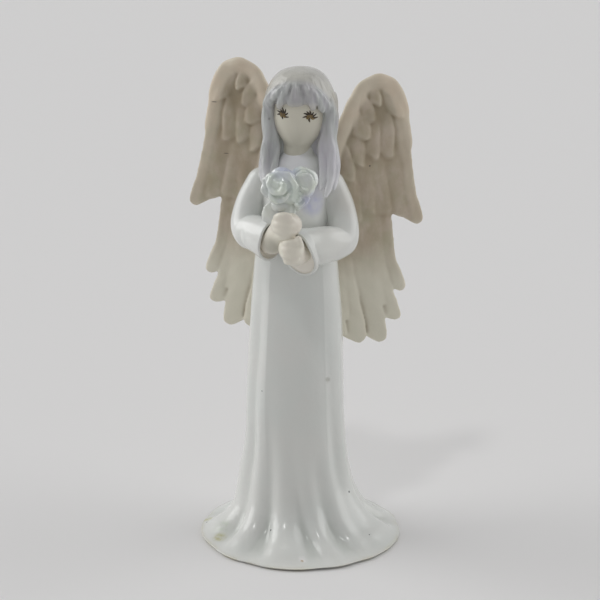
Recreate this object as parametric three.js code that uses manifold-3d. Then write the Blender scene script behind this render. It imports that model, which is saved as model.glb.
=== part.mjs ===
// A slip-cast porcelain angel figurine, in millimetres, +Z up.
// It stands on z = 0 and faces -Y. Left and right are the figure's own, so its left is +X.
// Every piece is one that is cast or pressed by itself and stuck to its neighbours with slip.
import * as THREE from "three";
import { mergeVertices } from "three/addons/utils/BufferGeometryUtils.js";
import Module from "manifold-3d";

const wasm = await Module();
wasm.setup();

// Joints between pieces
const slipGap = 0.3; // left between two pieces for the slip that sticks them together
const overrun = 1; // how far a cutting shape passes a face

// Robe
const hemWidth = 61;
const hemDepth = 59.5;
const hemForward = 3.7; // the hem's middle lies this far in front of the body's
const hemLip = 1; // height of the rolled edge
const flareHeight = 15.2; // the smaller, the lower the skirt flares out
const baseWidth = 31.4; // of the column that the flare is added to
const baseDepth = 28.5;
const kneeHeight = 44;
const kneeWidth = 30.2;
const kneeDepth = 27.5;
const thighLength = 40;
const waistHeight = kneeHeight + thighLength;
const waistWidth = 25.4;
const waistDepth = 22;
const bodiceLength = 20;
const chestHeight = waistHeight + bodiceLength;
const chestWidth = 20.4;
const chestDepth = 18.6;
const yokeLength = 9;
const shoulderHeight = chestHeight + yokeLength;
const shoulderWidth = 20.6;
const shoulderDepth = 14.4;
const shoulderSlope = 6.6; // the shoulders' fall from the collar
const collarHeight = shoulderHeight + shoulderSlope;
const sway = 1.2; // how far the body leans to its right at the waist
const hemFoldDepth = 1.2;
const fluteDepth = 2.3; // of the folds where the skirt flares out
const columnFoldDepth = 1.4;
const panelDepth = 0.9; // how far the front hangs back between its two side folds
const robeWall = 2.6;
const solidChest = 7; // the hollow ends this far below the chest
const hollowHeight = chestHeight - solidChest;

// Head
const headWidth = 16;
const headDepth = 17.6;
const headHeight = 21;
const headForward = 0.6; // the head's middle lies this far in front of the neck's
const chinRise = 2.2; // above the collar
const chinHeight = collarHeight + chinRise;
const neckWidth = 7;
const neckSocketDepth = 4.4;
const collarWall = 1.4; // round the neck
const collarWidth = neckWidth + 2 * collarWall;
const noseProud = 0.5;

// Hair
const hairSideThickness = 2.7;
const hairFrontThickness = 3.2;
const hairTopThickness = 2.2;
const hairWidth = headWidth + 2 * hairSideThickness;
const hairDepth = headDepth + 2 * hairFrontThickness;
const hairTop = chinHeight + headHeight + hairTopThickness;
const hairSpread = 1.3; // how far it spreads over each shoulder
const hairEndWidth = hairWidth + 2 * hairSpread;
const hairEndDrop = 5; // below the collar
const hairEndHeight = collarHeight - hairEndDrop;
const faceHeight = 15; // from the chin to the fringe
const fringeHeight = chinHeight + faceHeight;
const cheekCover = 1.4; // how far the hair comes over each side of the face
const faceWidth = headWidth - 2 * cheekCover;
const hairBackLength = 29;
const hairBackThickness = 4.6;
const lockThickness = 4.2;
const leftLockDrop = 7.6; // below the rest of the hair
const rightLockDrop = 2.6;

// Sleeves and hands. Drops and rises follow an arm down from the shoulder to the elbow, the cuff's
// middle and up to the fist's. Out is from the body's middle towards the arm's own side, reach is
// from the chest to the cuff's mouth, and the greater the turn share, the more the cuff faces forward.
const upperArmThickness = 8.8;
const elbowThickness = 10.4;
const elbowClear = 3.8; // from the chest's side to the elbow's middle
const elbowForward = 4.5;
const cuffWall = 0.95;
const cuffHollowDepth = 5.5;
const fingerThickness = 2.2;
const wristThickness = 3.8;
const cuffFlow = 9; // the length of sleeve that hangs
const elbowOut = chestWidth / 2 + elbowClear;
const arms = {
  left: {
    side: 1,
    elbowDrop: 18.2,
    cuffDrop: 0.9,
    cuffOut: 1.6,
    cuffReach: 9,
    cuffTallness: 12.8,
    cuffWidth: 11,
    cuffHang: 4.6,
    cuffSag: 1.7,
    turnShare: 0.85,
    handOut: 1,
    handReach: 3.3,
    handRise: 2.1,
    handWidth: 7.8,
    handTallness: 7.6,
  },
  right: {
    side: -1,
    elbowDrop: 15.6,
    cuffDrop: 0.8,
    cuffOut: 5,
    cuffReach: 6.5,
    cuffTallness: 12,
    cuffWidth: 9.6,
    cuffHang: 1.6,
    cuffSag: 0.5,
    turnShare: 0.68,
    handOut: 0.5,
    handReach: 5,
    handRise: 6.2,
    handWidth: 9.2,
    handTallness: 7.6,
  },
};

// Bunch of flowers
const stemsThickness = 3.2;
const bunchRise = 2.9; // from the upper fist to the top of the stems
const bunchLean = 2.4; // how far the stems lean back from the upper fist to their top
const blossomWidth = 9.6;
const petalThickness = 1;
const budThickness = 2.8;
const leafLength = 8.4;
const leafWidth = 5.4;
const leafThickness = 1;

// Wings
const wingHeight = 85.6;
const wingSpan = 33; // from the root to the tip
const wingRootDrop = 6.2; // of the root's middle below the chest
const wingRootHeight = chestHeight - wingRootDrop;
const wingRootShare = 0.5; // of the wing's height, where the root's middle is
const wingCurl = 2; // how far the outer edge curls forward again
const rimThickness = 4.6;
const rootThickness = 6.5;
const backingThickness = 2;
const featherThickness = 2.6;
const featherRaise = 0.55; // how far each row of feathers stands in front of the one below
// How each wing is stuck on by hand: how far out, turned back and tipped up (degrees), and lifted
const wingSeats = {
  left: { side: 1, out: 4, sweep: 22, tip: 0, lift: 0 },
  right: { side: -1, out: 2.6, sweep: 16, tip: 1.2, lift: 4.2 },
};

const V = (x, y, z) => new THREE.Vector3(x, y, z);
const mix = THREE.MathUtils.lerp;
const turn = 2 * Math.PI;

// Smooth value between [place, value] pairs, with no overshoot between them
function between(pairs, at) {
  const last = pairs.length - 1;
  if (at <= pairs[0][0]) return pairs[0][1];
  if (at >= pairs[last][0]) return pairs[last][1];
  const slope = (i) => (pairs[i + 1][1] - pairs[i][1]) / (pairs[i + 1][0] - pairs[i][0]);
  const tangent = (i) => {
    if (i === 0) return slope(0);
    if (i === last) return slope(last - 1);
    const [before, after] = [slope(i - 1), slope(i)];
    return before * after <= 0 ? 0 : (2 * before * after) / (before + after);
  };
  const i = pairs.findIndex(([place]) => place > at) - 1;
  const width = pairs[i + 1][0] - pairs[i][0];
  const t = (at - pairs[i][0]) / width;
  return (
    (2 * t ** 3 - 3 * t ** 2 + 1) * pairs[i][1] +
    (t ** 3 - 2 * t ** 2 + t) * width * tangent(i) +
    (3 * t ** 2 - 2 * t ** 3) * pairs[i + 1][1] +
    (t ** 3 - t ** 2) * width * tangent(i + 1)
  );
}

// Closed surfaces

function closedGeometry(points, faces) {
  let volume = 0;
  for (let i = 0; i < faces.length; i += 3) {
    const [a, b, c] = [points[faces[i]], points[faces[i + 1]], points[faces[i + 2]]];
    volume += a.dot(b.clone().cross(c));
  }
  const outward = volume < 0 ? faces.toReversed() : faces;
  return new THREE.BufferGeometry().setFromPoints(points).setIndex(outward);
}

// Skin over rings that hold the same number of points, with a fan over each end
function loft(rings) {
  const count = rings[0].length;
  const last = (rings.length - 1) * count;
  const points = rings.flat();
  const ends = [rings[0], rings[rings.length - 1]].map((ring) =>
    ring.reduce((sum, p) => sum.add(p), V(0, 0, 0)).divideScalar(count),
  );
  const faces = [];
  for (let k = 0; k < count; k++) {
    const next = (k + 1) % count;
    for (let row = 0; row < last; row += count)
      faces.push(row + k, row + next, row + next + count, row + k, row + next + count, row + k + count);
    faces.push(points.length, next, k, points.length + 1, last + k, last + next);
  }
  return closedGeometry([...points, ...ends], faces);
}

const even = (steps) => Array.from({ length: steps + 1 }, (_, i) => i / steps);

// A rod along a path, with a ring at each of the places t from 0 to 1. radii(t) gives its half
// width along `wide` and its half thickness.
function rod(path, radii, wide, places, count) {
  const curve = new THREE.CatmullRomCurve3(path, false, "centripetal");
  return loft(
    places.map((t) => {
      const middle = curve.getPoint(t);
      const along = curve.getTangent(t);
      const across = wide.clone().addScaledVector(along, -wide.dot(along)).normalize();
      const up = along.clone().cross(across);
      const [halfWidth, halfThickness] = radii(t);
      return Array.from({ length: count }, (_, k) => {
        const angle = (turn * k) / count;
        return middle
          .clone()
          .addScaledVector(across, halfWidth * Math.cos(angle))
          .addScaledVector(up, halfThickness * Math.sin(angle));
      });
    }),
  );
}

// Rounds a rod's ends: 1 along its middle, falling to a small share at the two ends
function rounded(t, endShare, least = 0.15) {
  const near = Math.min(t, 1 - t) / endShare;
  return near >= 1 ? 1 : Math.max(least, Math.sqrt(1 - (1 - near) ** 2));
}

function ellipsoid(middle, halfWidth, halfDepth, halfHeight, around = 14, up = 10) {
  return new THREE.SphereGeometry(1, around, up)
    .scale(halfWidth, halfDepth, halfHeight)
    .translate(middle.x, middle.y, middle.z);
}

// Moves each point out along its normal, so that what this shape cuts keeps that clearance to it
function swollen(geometry, clearance) {
  const bare = geometry.clone();
  for (const name of ["normal", "uv"]) bare.deleteAttribute(name);
  const merged = mergeVertices(bare);
  merged.computeVertexNormals();
  const { position, normal } = merged.attributes;
  for (let i = 0; i < position.count; i++)
    position.setXYZ(
      i,
      position.getX(i) + clearance * normal.getX(i),
      position.getY(i) + clearance * normal.getY(i),
      position.getZ(i) + clearance * normal.getZ(i),
    );
  return merged;
}

function solid(geometry) {
  const bare = geometry.clone();
  for (const name of ["normal", "uv"]) bare.deleteAttribute(name);
  const merged = mergeVertices(bare);
  return new wasm.Manifold(
    new wasm.Mesh({
      numProp: 3,
      vertProperties: merged.attributes.position.array,
      triVerts: new Uint32Array(merged.index.array),
    }),
  );
}

const fused = (geometries) => geometries.map(solid).reduce((sum, next) => sum.add(next));
const clearOf = (geometries) => fused(geometries.map((g) => swollen(g, slipGap)));

// Of what a cut leaves, the largest body is the piece and the crumbs are dropped
function largest(body) {
  return body.decompose().reduce((a, b) => (b.volume() > a.volume() ? b : a));
}

function geometryOf(body) {
  const { numProp, numVert, vertProperties, triVerts } = body.getMesh();
  const points = new Float32Array(numVert * 3);
  for (let i = 0; i < numVert; i++) points.set(vertProperties.subarray(i * numProp, i * numProp + 3), i * 3);
  const geometry = new THREE.BufferGeometry();
  geometry.setAttribute("position", new THREE.BufferAttribute(points, 3));
  geometry.setIndex(new THREE.BufferAttribute(triVerts, 1));
  geometry.computeVertexNormals();
  return geometry;
}

// Robe

const swayAt = (z) =>
  -between([[0, 0], [kneeHeight, sway], [chestHeight, sway], [collarHeight, 0]], z);

function robeHalves(z) {
  const flare = flareAt(z, 3);
  const width = between(
    [
      [0, baseWidth],
      [kneeHeight, kneeWidth],
      [waistHeight, waistWidth],
      [chestHeight, chestWidth],
      [shoulderHeight, shoulderWidth],
      [collarHeight, collarWidth],
    ],
    z,
  );
  const depth = between(
    [
      [0, baseDepth],
      [kneeHeight, kneeDepth],
      [waistHeight, waistDepth],
      [chestHeight, chestDepth],
      [shoulderHeight, shoulderDepth],
      [collarHeight, collarWidth],
    ],
    z,
  );
  return [(width + (hemWidth - baseWidth) * flare) / 2, (depth + (hemDepth - baseDepth) * flare) / 2];
}

// Each fold: degrees round from the front at the hem and on the column, its strength as a share
// of the fold depths, and the share of the robe's height where it dies out
const foldShares = [
  [-43, -46, 1, 0.74],
  [-21, -27, 0.9, 0.7],
  [-2, -12, 0.5, 0.34],
  [15, 3, 0.9, 0.4],
  [36, 14, 0.95, 0.5],
  [58, 35, 1, 0.7],
  [80, 60, 0.9, 0.5],
  [103, 86, 0.9, 0.66],
  [129, 118, 0.9, 0.5],
  [155, 146, 0.8, 0.6],
  [180, 172, 0.9, 0.7],
  [-155, -158, 0.8, 0.56],
  [-128, -131, 0.9, 0.66],
  [-100, -104, 0.9, 0.58],
  [-70, -76, 0.9, 0.66],
];
const hemFoldTurn = 8; // degrees that a fold takes up at the hem
const columnFoldTurn = 8.5;
const panelMiddle = 4; // degrees round from the front
const panelTurn = 27;

const round180 = (degrees) => THREE.MathUtils.euclideanModulo(degrees + 180, 360) - 180;
const flareAt = (z, power) => (flareHeight / (flareHeight + z)) ** power;

function foldAt(degrees, z) {
  const down = flareAt(z, 2);
  const width = mix(columnFoldTurn, hemFoldTurn, down);
  const folds = foldShares.reduce((sum, [hemAngle, columnAngle, strength, reachShare]) => {
    const away = round180(degrees - mix(columnAngle, hemAngle, down)) / width;
    const reach = collarHeight * reachShare;
    const fade = 1 - THREE.MathUtils.smoothstep(z, reach * 0.55, reach);
    const depth = between(
      [
        [0, hemFoldDepth],
        [flareHeight * 0.5, fluteDepth],
        [flareHeight * 2, columnFoldDepth],
      ],
      z,
    );
    return sum + strength * depth * fade * Math.exp(-(away ** 2));
  }, 0);
  const { smoothstep } = THREE.MathUtils;
  const inPanel = 1 - smoothstep(Math.abs(degrees - panelMiddle), panelTurn * 0.8, panelTurn * 1.1);
  const panelFade = 1 - smoothstep(z, waistHeight, chestHeight);
  return folds + panelDepth * inPanel * panelFade * (1 - down);
}

function robeRing(z, inset, around, withFolds) {
  const [halfWidth, halfDepth] = robeHalves(z);
  return Array.from({ length: around }, (_, k) => {
    const degrees = round180((360 * k) / around);
    const angle = THREE.MathUtils.degToRad(degrees);
    const inward = inset + (withFolds ? foldAt(degrees, z) : 0);
    return V(
      swayAt(z) + (halfWidth - inward) * Math.sin(angle),
      -hemForward * flareAt(z, 3) - (halfDepth - inward) * Math.cos(angle),
      z,
    );
  });
}

// Heights that crowd towards the hem, where the skirt turns fastest
const crowded = (from, to, steps, power) =>
  Array.from({ length: steps + 1 }, (_, i) => mix(from, to, (i / steps) ** power));

function robeShell() {
  const levels = crowded(hemLip, collarHeight, 16, 1.45);
  return loft([robeRing(0, hemLip / 2, 60, true), ...levels.map((z) => robeRing(z, 0, 60, true))]);
}

// The hollow keeps the wall's thickness to the outside: sideways in the column, and more and more
// downwards where the skirt flares out
function robeHollow() {
  const levels = crowded(0, hollowHeight, 8, 1.5);
  const ring = (z) => {
    const down = flareAt(z, 2);
    const dome = THREE.MathUtils.smoothstep(z, hollowHeight * 0.9, hollowHeight);
    const wall = robeWall * (mix(1, 0.5, down) + dome);
    const folds = mix(columnFoldDepth + panelDepth, fluteDepth, down);
    return robeRing(z + robeWall * down, wall + folds, 26, false).map((p) => p.setZ(z));
  };
  return loft([ring(0).map((p) => p.setZ(-overrun)), ...levels.map(ring)]);
}

// Head

const headMiddle = V(0, -headForward, chinHeight + headHeight / 2);

// Shares of the head's height, of its half width, and of how far the front and the back reach
const headShares = [
  [0, 0.42, 0.62, 0.1],
  [0.08, 0.62, 0.78, 0.4],
  [0.2, 0.85, 0.9, 0.66],
  [0.3, 0.97, 0.95, 0.82],
  [0.46, 1.03, 1, 0.95],
  [0.62, 1.03, 0.99, 1],
  [0.78, 0.93, 0.88, 0.95],
  [0.9, 0.7, 0.64, 0.74],
  [0.98, 0.3, 0.28, 0.34],
];

function skull() {
  return loft(
    headShares.map(([heightShare, widthShare, frontShare, backShare]) =>
      Array.from({ length: 20 }, (_, k) => {
        const angle = (turn * k) / 20;
        const reach = Math.cos(angle) > 0 ? frontShare : backShare;
        return V(
          headMiddle.x + (headWidth / 2) * widthShare * Math.sin(angle),
          headMiddle.y - (headDepth / 2) * reach * Math.cos(angle),
          chinHeight + headHeight * heightShare,
        );
      }),
    ),
  );
}

const neckBottom = collarHeight - neckSocketDepth;
const neckPath = [V(0, 0, neckBottom), V(0, -headForward * 0.65, chinHeight), headMiddle];

function neck() {
  const half = neckWidth / 2;
  return rod(neckPath, (t) => [half * mix(1.12, 1, Math.min(1, 2 * t)), half], V(1, 0, 0), even(3), 14);
}

function neckSocket() {
  return new THREE.CylinderGeometry(1, 1, 1, 16)
    .rotateX(turn / 4)
    .scale(neckWidth * 0.56 + slipGap, neckWidth * 0.56 + slipGap, neckSocketDepth + slipGap + overrun)
    .translate(0, 0, collarHeight + (overrun - neckSocketDepth - slipGap) / 2);
}

function nose() {
  const face = headMiddle.y - headDepth / 2;
  const height = chinHeight + headHeight * 0.34;
  return ellipsoid(V(0, face + noseProud, height), noseProud * 1.7, noseProud * 2, headHeight * 0.09, 8, 6);
}

// Hair

// Shares of the hair's height, of its width (0) or end width (1), and of how far it reaches to the
// front and the back of its half depth
const hairShares = [
  [0, 1, 0.98, 0.42, 0.62],
  [0.12, 0.85, 1, 0.5, 0.72],
  [0.26, 0.4, 1, 0.6, 0.84],
  [0.42, 0.1, 1, 0.72, 0.95],
  [0.58, 0, 1, 0.84, 1],
  [0.72, 0, 0.96, 0.9, 0.99],
  [0.83, 0, 0.84, 0.82, 0.9],
  [0.92, 0, 0.66, 0.66, 0.74],
  [0.97, 0, 0.44, 0.44, 0.52],
  [1, 0, 0.16, 0.16, 0.2],
];
const strandShare = 0.02; // how deep the grooves between strands are, of the half width
const strandTopShare = 0.9; // above this share of the height the crown is smooth

function hairOuter() {
  return loft(
    hairShares.map(([heightShare, endShare, widthShare, frontShare, backShare]) =>
      Array.from({ length: 28 }, (_, k) => {
        const angle = (turn * k) / 28;
        const reach = Math.cos(angle) > 0 ? frontShare : backShare;
        const groove = heightShare < strandTopShare ? strandShare * (k % 2) : 0;
        return V(
          (mix(hairWidth, hairEndWidth, endShare) / 2) * widthShare * (1 - groove) * Math.sin(angle),
          -(hairDepth / 2) * reach * (1 - groove) * Math.cos(angle),
          mix(hairEndHeight, hairTop, heightShare),
        );
      }),
    ),
  );
}

// The arch that the face looks out of: it narrows from the fringe to the neck
function faceWindow() {
  const arch = new THREE.Shape();
  const [half, low, high] = [faceWidth / 2, hairEndHeight - overrun, fringeHeight];
  const neck = neckWidth / 2 + slipGap;
  const jaw = collarHeight + (fringeHeight - collarHeight) * 0.12;
  const cheek = collarHeight + (fringeHeight - collarHeight) * 0.62;
  arch.moveTo(-neck, low);
  arch.lineTo(neck, low);
  arch.lineTo(neck, jaw);
  arch.quadraticCurveTo(half, mix(jaw, cheek, 0.4), half, cheek);
  arch.bezierCurveTo(half, mix(cheek, high, 0.7), half * 0.6, high, 0, high);
  arch.bezierCurveTo(-half * 0.6, high, -half, mix(cheek, high, 0.7), -half, cheek);
  arch.quadraticCurveTo(-half, mix(jaw, cheek, 0.4), -neck, jaw);
  return new THREE.ExtrudeGeometry(arch, { depth: hairDepth, bevelEnabled: false, curveSegments: 4 })
    .rotateX(turn / 4);
}

// The fall of hair down the back, in strands side by side that draw together to a point
function hairBack() {
  const strands = 5;
  const top = chinHeight;
  const bottom = top - hairBackLength;
  return Array.from({ length: strands }, (_, i) => {
    const place = (2 * i) / (strands - 1) - 1;
    const out = (share) => place * (hairWidth / 2 - lockThickness / 3) * share;
    const end = mix(bottom, mix(top, bottom, 0.72), Math.abs(place));
    const half = hairBackThickness / 2;
    const backAt = (z) => robeHalves(Math.min(z, shoulderHeight))[1] * (1 - 0.25 * place ** 2) + half * 0.6;
    const path = [0, 0.34, 0.7, 1].map((t) => {
      const z = mix(top, end, t);
      const neckBack = (hairDepth / 2) * 0.66 * (1 - 0.2 * place ** 2);
      return V(out(mix(1, 0.42, t)), mix(neckBack, backAt(z), Math.min(1, 1.4 * t)), z);
    });
    return rod(path, (t) => [half * 1.3 * rounded(t, 0.3), half * rounded(t, 0.35)], V(1, 0, 0), even(5), 6);
  });
}

// A long lock from the temple down over the shoulder to the chest, in two strands side by side
function lock({ side }, drop) {
  const half = lockThickness / 2;
  const end = hairEndHeight - drop;
  const out = side * (hairWidth / 2 - half);
  return [-0.5, 0.5].map((beside) => {
    const across = side * beside * lockThickness * 0.9;
    const forward = beside * lockThickness * 0.25;
    const path = [
      V(out * 0.95 + across * 0.3, -hairDepth * 0.2, mix(chinHeight, fringeHeight, 0.7 + 0.2 * beside)),
      V(out + across * 0.5, -hairDepth * 0.23, mix(chinHeight, fringeHeight, 0.3)),
      V(out + across * 0.9, -shoulderDepth / 2 + half * 0.4 - forward, collarHeight - half * 0.5),
      V(out + across, -shoulderDepth / 2 - half * 0.7 - forward, hairEndHeight),
      V(out * 0.94 + across * 0.6 - sway * 0.5, -chestDepth / 2 - half * 0.2, end + beside * lockThickness),
    ];
    const size = (t) => half * rounded(t, 0.35);
    return rod(path, (t) => [size(t) * 0.9, size(t)], V(1, 0, 0), even(8), 6);
  });
}

// Sleeves and hands

// Places along an arm, from the shoulder to the cuff's mouth
function armPath({ side, elbowDrop, cuffDrop, cuffOut, cuffReach, turnShare }) {
  const at = (out, forward, z) => V(side * out - sway, -forward, z);
  const elbowHeight = shoulderHeight - elbowDrop;
  const cuffHeight = elbowHeight - cuffDrop;
  const cuffForward = chestDepth / 2 + cuffReach;
  const shoulderOut = shoulderWidth / 2 - upperArmThickness * 0.14;
  const armpit = (shoulderHeight + elbowHeight) / 2;
  return [
    at(shoulderOut, 0, shoulderHeight),
    at(mix(shoulderOut, elbowOut, 0.8), elbowForward * 0.22, armpit),
    at(elbowOut, elbowForward, elbowHeight),
    at(mix(elbowOut, cuffOut, 0.38), mix(elbowForward, cuffForward, 0.36), elbowHeight - cuffDrop * 0.8),
    at(mix(elbowOut, cuffOut, turnShare), mix(elbowForward, cuffForward, 0.66), cuffHeight),
    at(cuffOut, cuffForward, cuffHeight),
  ];
}

// The tall way of the section turns from front to back at the shoulder to upright at the cuff.
// Shares along the arm's outside, the front and up.
const tallWayShares = V(-0.4, -0.35, 1);
const sleeveTall = ({ side }) => tallWayShares.clone().multiply(V(side, 1, 1));

// Lets the underside of a cuff hang back and down from the hand
function hung(geometry, arm) {
  const [before, cuff] = armPath(arm).slice(-2);
  const back = before.sub(cuff).normalize();
  const { position } = geometry.attributes;
  for (let i = 0; i < position.count; i++) {
    const p = V(0, 0, 0).fromBufferAttribute(position, i);
    const away = p.clone().sub(cuff);
    const near = THREE.MathUtils.clamp(1 - away.dot(back) / cuffFlow, 0, 1);
    const low = THREE.MathUtils.clamp(away.z / (-arm.cuffTallness / 2), 0, 1);
    p.addScaledVector(back, arm.cuffHang * near ** 2 * low);
    position.setXYZ(i, p.x, p.y, p.z - arm.cuffSag * near ** 2 * low);
  }
  return geometry;
}

function sleeveOuter(arm) {
  const upper = [[0, upperArmThickness * 0.8], [0.2, upperArmThickness], [0.5, elbowThickness]];
  const tall = [...upper, [1, arm.cuffTallness]];
  const thick = [...upper, [1, arm.cuffWidth]];
  const halves = (t) => [between(tall, t) / 2, between(thick, t) / 2];
  return hung(rod(armPath(arm), halves, sleeveTall(arm), even(10), 14), arm);
}

function cuffHollow(arm) {
  const [before, cuff] = armPath(arm).slice(-2);
  const inward = before.sub(cuff).normalize();
  const mouth = cuff.clone().addScaledVector(inward, -overrun);
  const bottom = cuff.clone().addScaledVector(inward, cuffHollowDepth);
  const halves = (t) => [
    mix(arm.cuffTallness / 2 - cuffWall, wristThickness * 0.8, t ** 2),
    mix(arm.cuffWidth / 2 - cuffWall, wristThickness * 0.66, t ** 2),
  ];
  const path = [mouth, mouth.clone().lerp(bottom, 0.5), bottom];
  return hung(rod(path, halves, sleeveTall(arm), even(2), 12), arm);
}

function fistMiddle(arm) {
  const { side, handOut, handReach, handRise } = arm;
  const cuff = armPath(arm).at(-1);
  return V(side * handOut - sway, cuff.y - handReach, cuff.z + handRise);
}

// Where a thumb lies over the fingers, in shares of half the fist
const thumbShares = [V(0.7, -0.2, 0.5), V(0.2, -0.8, 0.85), V(-0.5, -0.75, 0.8)];

// A fist round the stems: a palm, four fingers curled over the front, a thumb and a wrist
function hand(arm) {
  const { side, handWidth, handTallness } = arm;
  const middle = fistMiddle(arm);
  const half = V(handWidth, handWidth * 0.86, handTallness).divideScalar(2);
  const finger = fingerThickness / 2;
  const palm = ellipsoid(middle, half.x, half.y, half.z, 9, 7);
  const fingers = [0, 1, 2, 3].map((i) => {
    const up = half.z * (1.5 - i) * 0.48;
    const reach = 0.9 - 0.06 * (i - 1) ** 2;
    const path = [50, 100, 150].map((degrees) => {
      const angle = THREE.MathUtils.degToRad(degrees);
      const [x, y] = [half.x * Math.cos(angle), half.y * Math.sin(angle)];
      return V(side * x * reach, -y * reach, up).add(middle);
    });
    return rod(path, (t) => Array(2).fill(finger * rounded(t, 0.2, 0.5)), V(0, 0, 1), even(3), 6);
  });
  const thumbPath = thumbShares.map((share) => V(side, 1, 1).multiply(share).multiply(half).add(middle));
  const thumb = rod(thumbPath, (t) => Array(2).fill(finger * rounded(t, 0.25, 0.5)), V(0, 0, 1), even(3), 6);
  const [before, cuff] = armPath(arm).slice(-2);
  const seat = cuff.clone().lerp(before, (cuffHollowDepth + wristThickness) / cuff.distanceTo(before));
  const wristHalf = wristThickness / 2;
  const wrist = rod([seat, cuff, middle], () => [wristHalf * 1.15, wristHalf], V(0, 0, 1), even(3), 8);
  return [palm, ...fingers, thumb, wrist];
}

// Bunch of flowers

const upperFist = fistMiddle(arms.right).setX(-sway);
const lowerFist = fistMiddle(arms.left).setX(-sway * 0.6);
const stemsTop = upperFist.clone().add(V(0, bunchLean, arms.right.handTallness / 2 + bunchRise));

function stems() {
  const foot = lowerFist.clone().add(V(0, 0, -arms.left.handTallness * 0.33));
  const halves = (t) => Array(2).fill((stemsThickness / 2) * mix(0.8, 1.4, t ** 2));
  return rod([foot, upperFist, stemsTop], halves, V(1, 0, 0), even(4), 8);
}

// A petal or leaf: a thin curved blade, wide past its middle. lift bends it up off its plane.
function blade(root, tip, normal, halfWidth, thickness, lift, widthShares, count = 4) {
  const along = tip.clone().sub(root);
  const across = along.clone().cross(normal).normalize();
  const path = [0, 0.35, 0.7, 1].map((t) =>
    root.clone().addScaledVector(along, t).addScaledVector(normal, lift * Math.sin(t * turn / 4) ** 2),
  );
  const halves = (t) => [halfWidth * between(widthShares, t), (thickness / 2) * rounded(t, 0.2, 0.5)];
  return rod(path, halves, across, [0, 0.4, 0.8, 1], count);
}

const petalShares = [[0, 0.35], [0.35, 0.8], [0.7, 1], [0.9, 0.8], [1, 0.34]];
const leafShares = [[0, 0.25], [0.3, 0.85], [0.5, 1], [0.8, 0.6], [1, 0.1]];

// The outer and the inner ring of petals, in shares of the blossom's width: how far from the middle
// a petal starts and reaches, how high it lifts, half its width, and the ring's turn
const petalRingShares = [
  { start: 0.06, reach: 0.5, lift: 0.16, half: 0.28, turned: 0.1 },
  { start: 0.04, reach: 0.29, lift: 0.36, half: 0.2, turned: 0.4 },
];

// Rings of petals round a bud, all leaning out along `facing`
function blossom(middle, facing, width, petalCounts) {
  const out = facing.clone().normalize();
  const across = V(1, 0, 0).addScaledVector(out, -out.x).normalize();
  const up = out.clone().cross(across);
  const petals = petalRingShares.flatMap(({ start, reach, lift, half, turned }, ring) =>
    Array.from({ length: petalCounts[ring] }, (_, i) => {
      const angle = turn * (i / petalCounts[ring] + turned);
      const radial = across.clone().multiplyScalar(Math.cos(angle)).addScaledVector(up, Math.sin(angle));
      const root = middle.clone().addScaledVector(radial, width * start);
      const tip = middle.clone().addScaledVector(radial, width * reach);
      tip.addScaledVector(out, width * lift * 0.4);
      return blade(root, tip, out, width * half, petalThickness, width * lift, petalShares);
    }),
  );
  const bud = middle.clone().addScaledVector(out, width * 0.16);
  return [ellipsoid(bud, ...Array(3).fill(budThickness / 2), 7, 5), ...petals];
}

// Where each blossom sits, in shares of a blossom's width from the top of the stems, its size as a
// share of that width, and the way it faces
const blossomShares = {
  blossom_large: { place: [-0.24, -0.16, 0.44], size: 1.12, facing: [-0.15, -1, 0.35], petals: [5, 3] },
  blossom_top: { place: [0.54, 0.08, 0.72], size: 0.84, facing: [0.35, -0.9, 0.45], petals: [4, 0] },
  blossom_side: { place: [0.42, -0.06, 0.08], size: 0.8, facing: [0.4, -1, 0.1], petals: [4, 0] },
};

const blossomMiddle = ({ place }) => V(...place).multiplyScalar(blossomWidth).add(stemsTop);

// Leaves that stick out round the bunch: where each points, seen from the front, in degrees from +X
const leafAngles = { leaf_left: 28, leaf_upper: 96, leaf_right: 196, leaf_lower: 146 };

function leaf(degrees) {
  const angle = THREE.MathUtils.degToRad(degrees);
  const away = V(Math.cos(angle), 0, Math.sin(angle));
  const root = stemsTop.clone().addScaledVector(away, stemsThickness * 0.4);
  const tip = root.clone().addScaledVector(away, leafLength).add(V(0, -leafWidth * 0.2, 0));
  return blade(root, tip, V(0, -1, 0), leafWidth / 2, leafThickness, -leafWidth * 0.15, leafShares);
}

// Wings

const wingRootBack = robeHalves(wingRootHeight)[1] + rootThickness * 0.35;

// Puts a shape made in a wing's own plane where the wing sits. In that plane x runs out from the
// root, y up from the lowest tip and z towards the front.
function seatWing(geometry, { side, out, sweep, tip, lift }) {
  const { position } = geometry.attributes;
  for (let i = 0; i < position.count; i++)
    position.setZ(i, position.getZ(i) + wingCurl * (position.getX(i) / wingSpan) ** 3);
  if (side < 0) geometry.setIndex(Array.from(geometry.index.array).toReversed());
  return geometry
    .translate(0, -wingHeight * wingRootShare, 0)
    .rotateZ(THREE.MathUtils.degToRad(tip))
    .rotateX(turn / 4)
    .rotateZ(THREE.MathUtils.degToRad(sweep))
    .translate(out, wingRootBack, wingRootHeight + lift)
    .scale(side, 1, 1);
}

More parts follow.
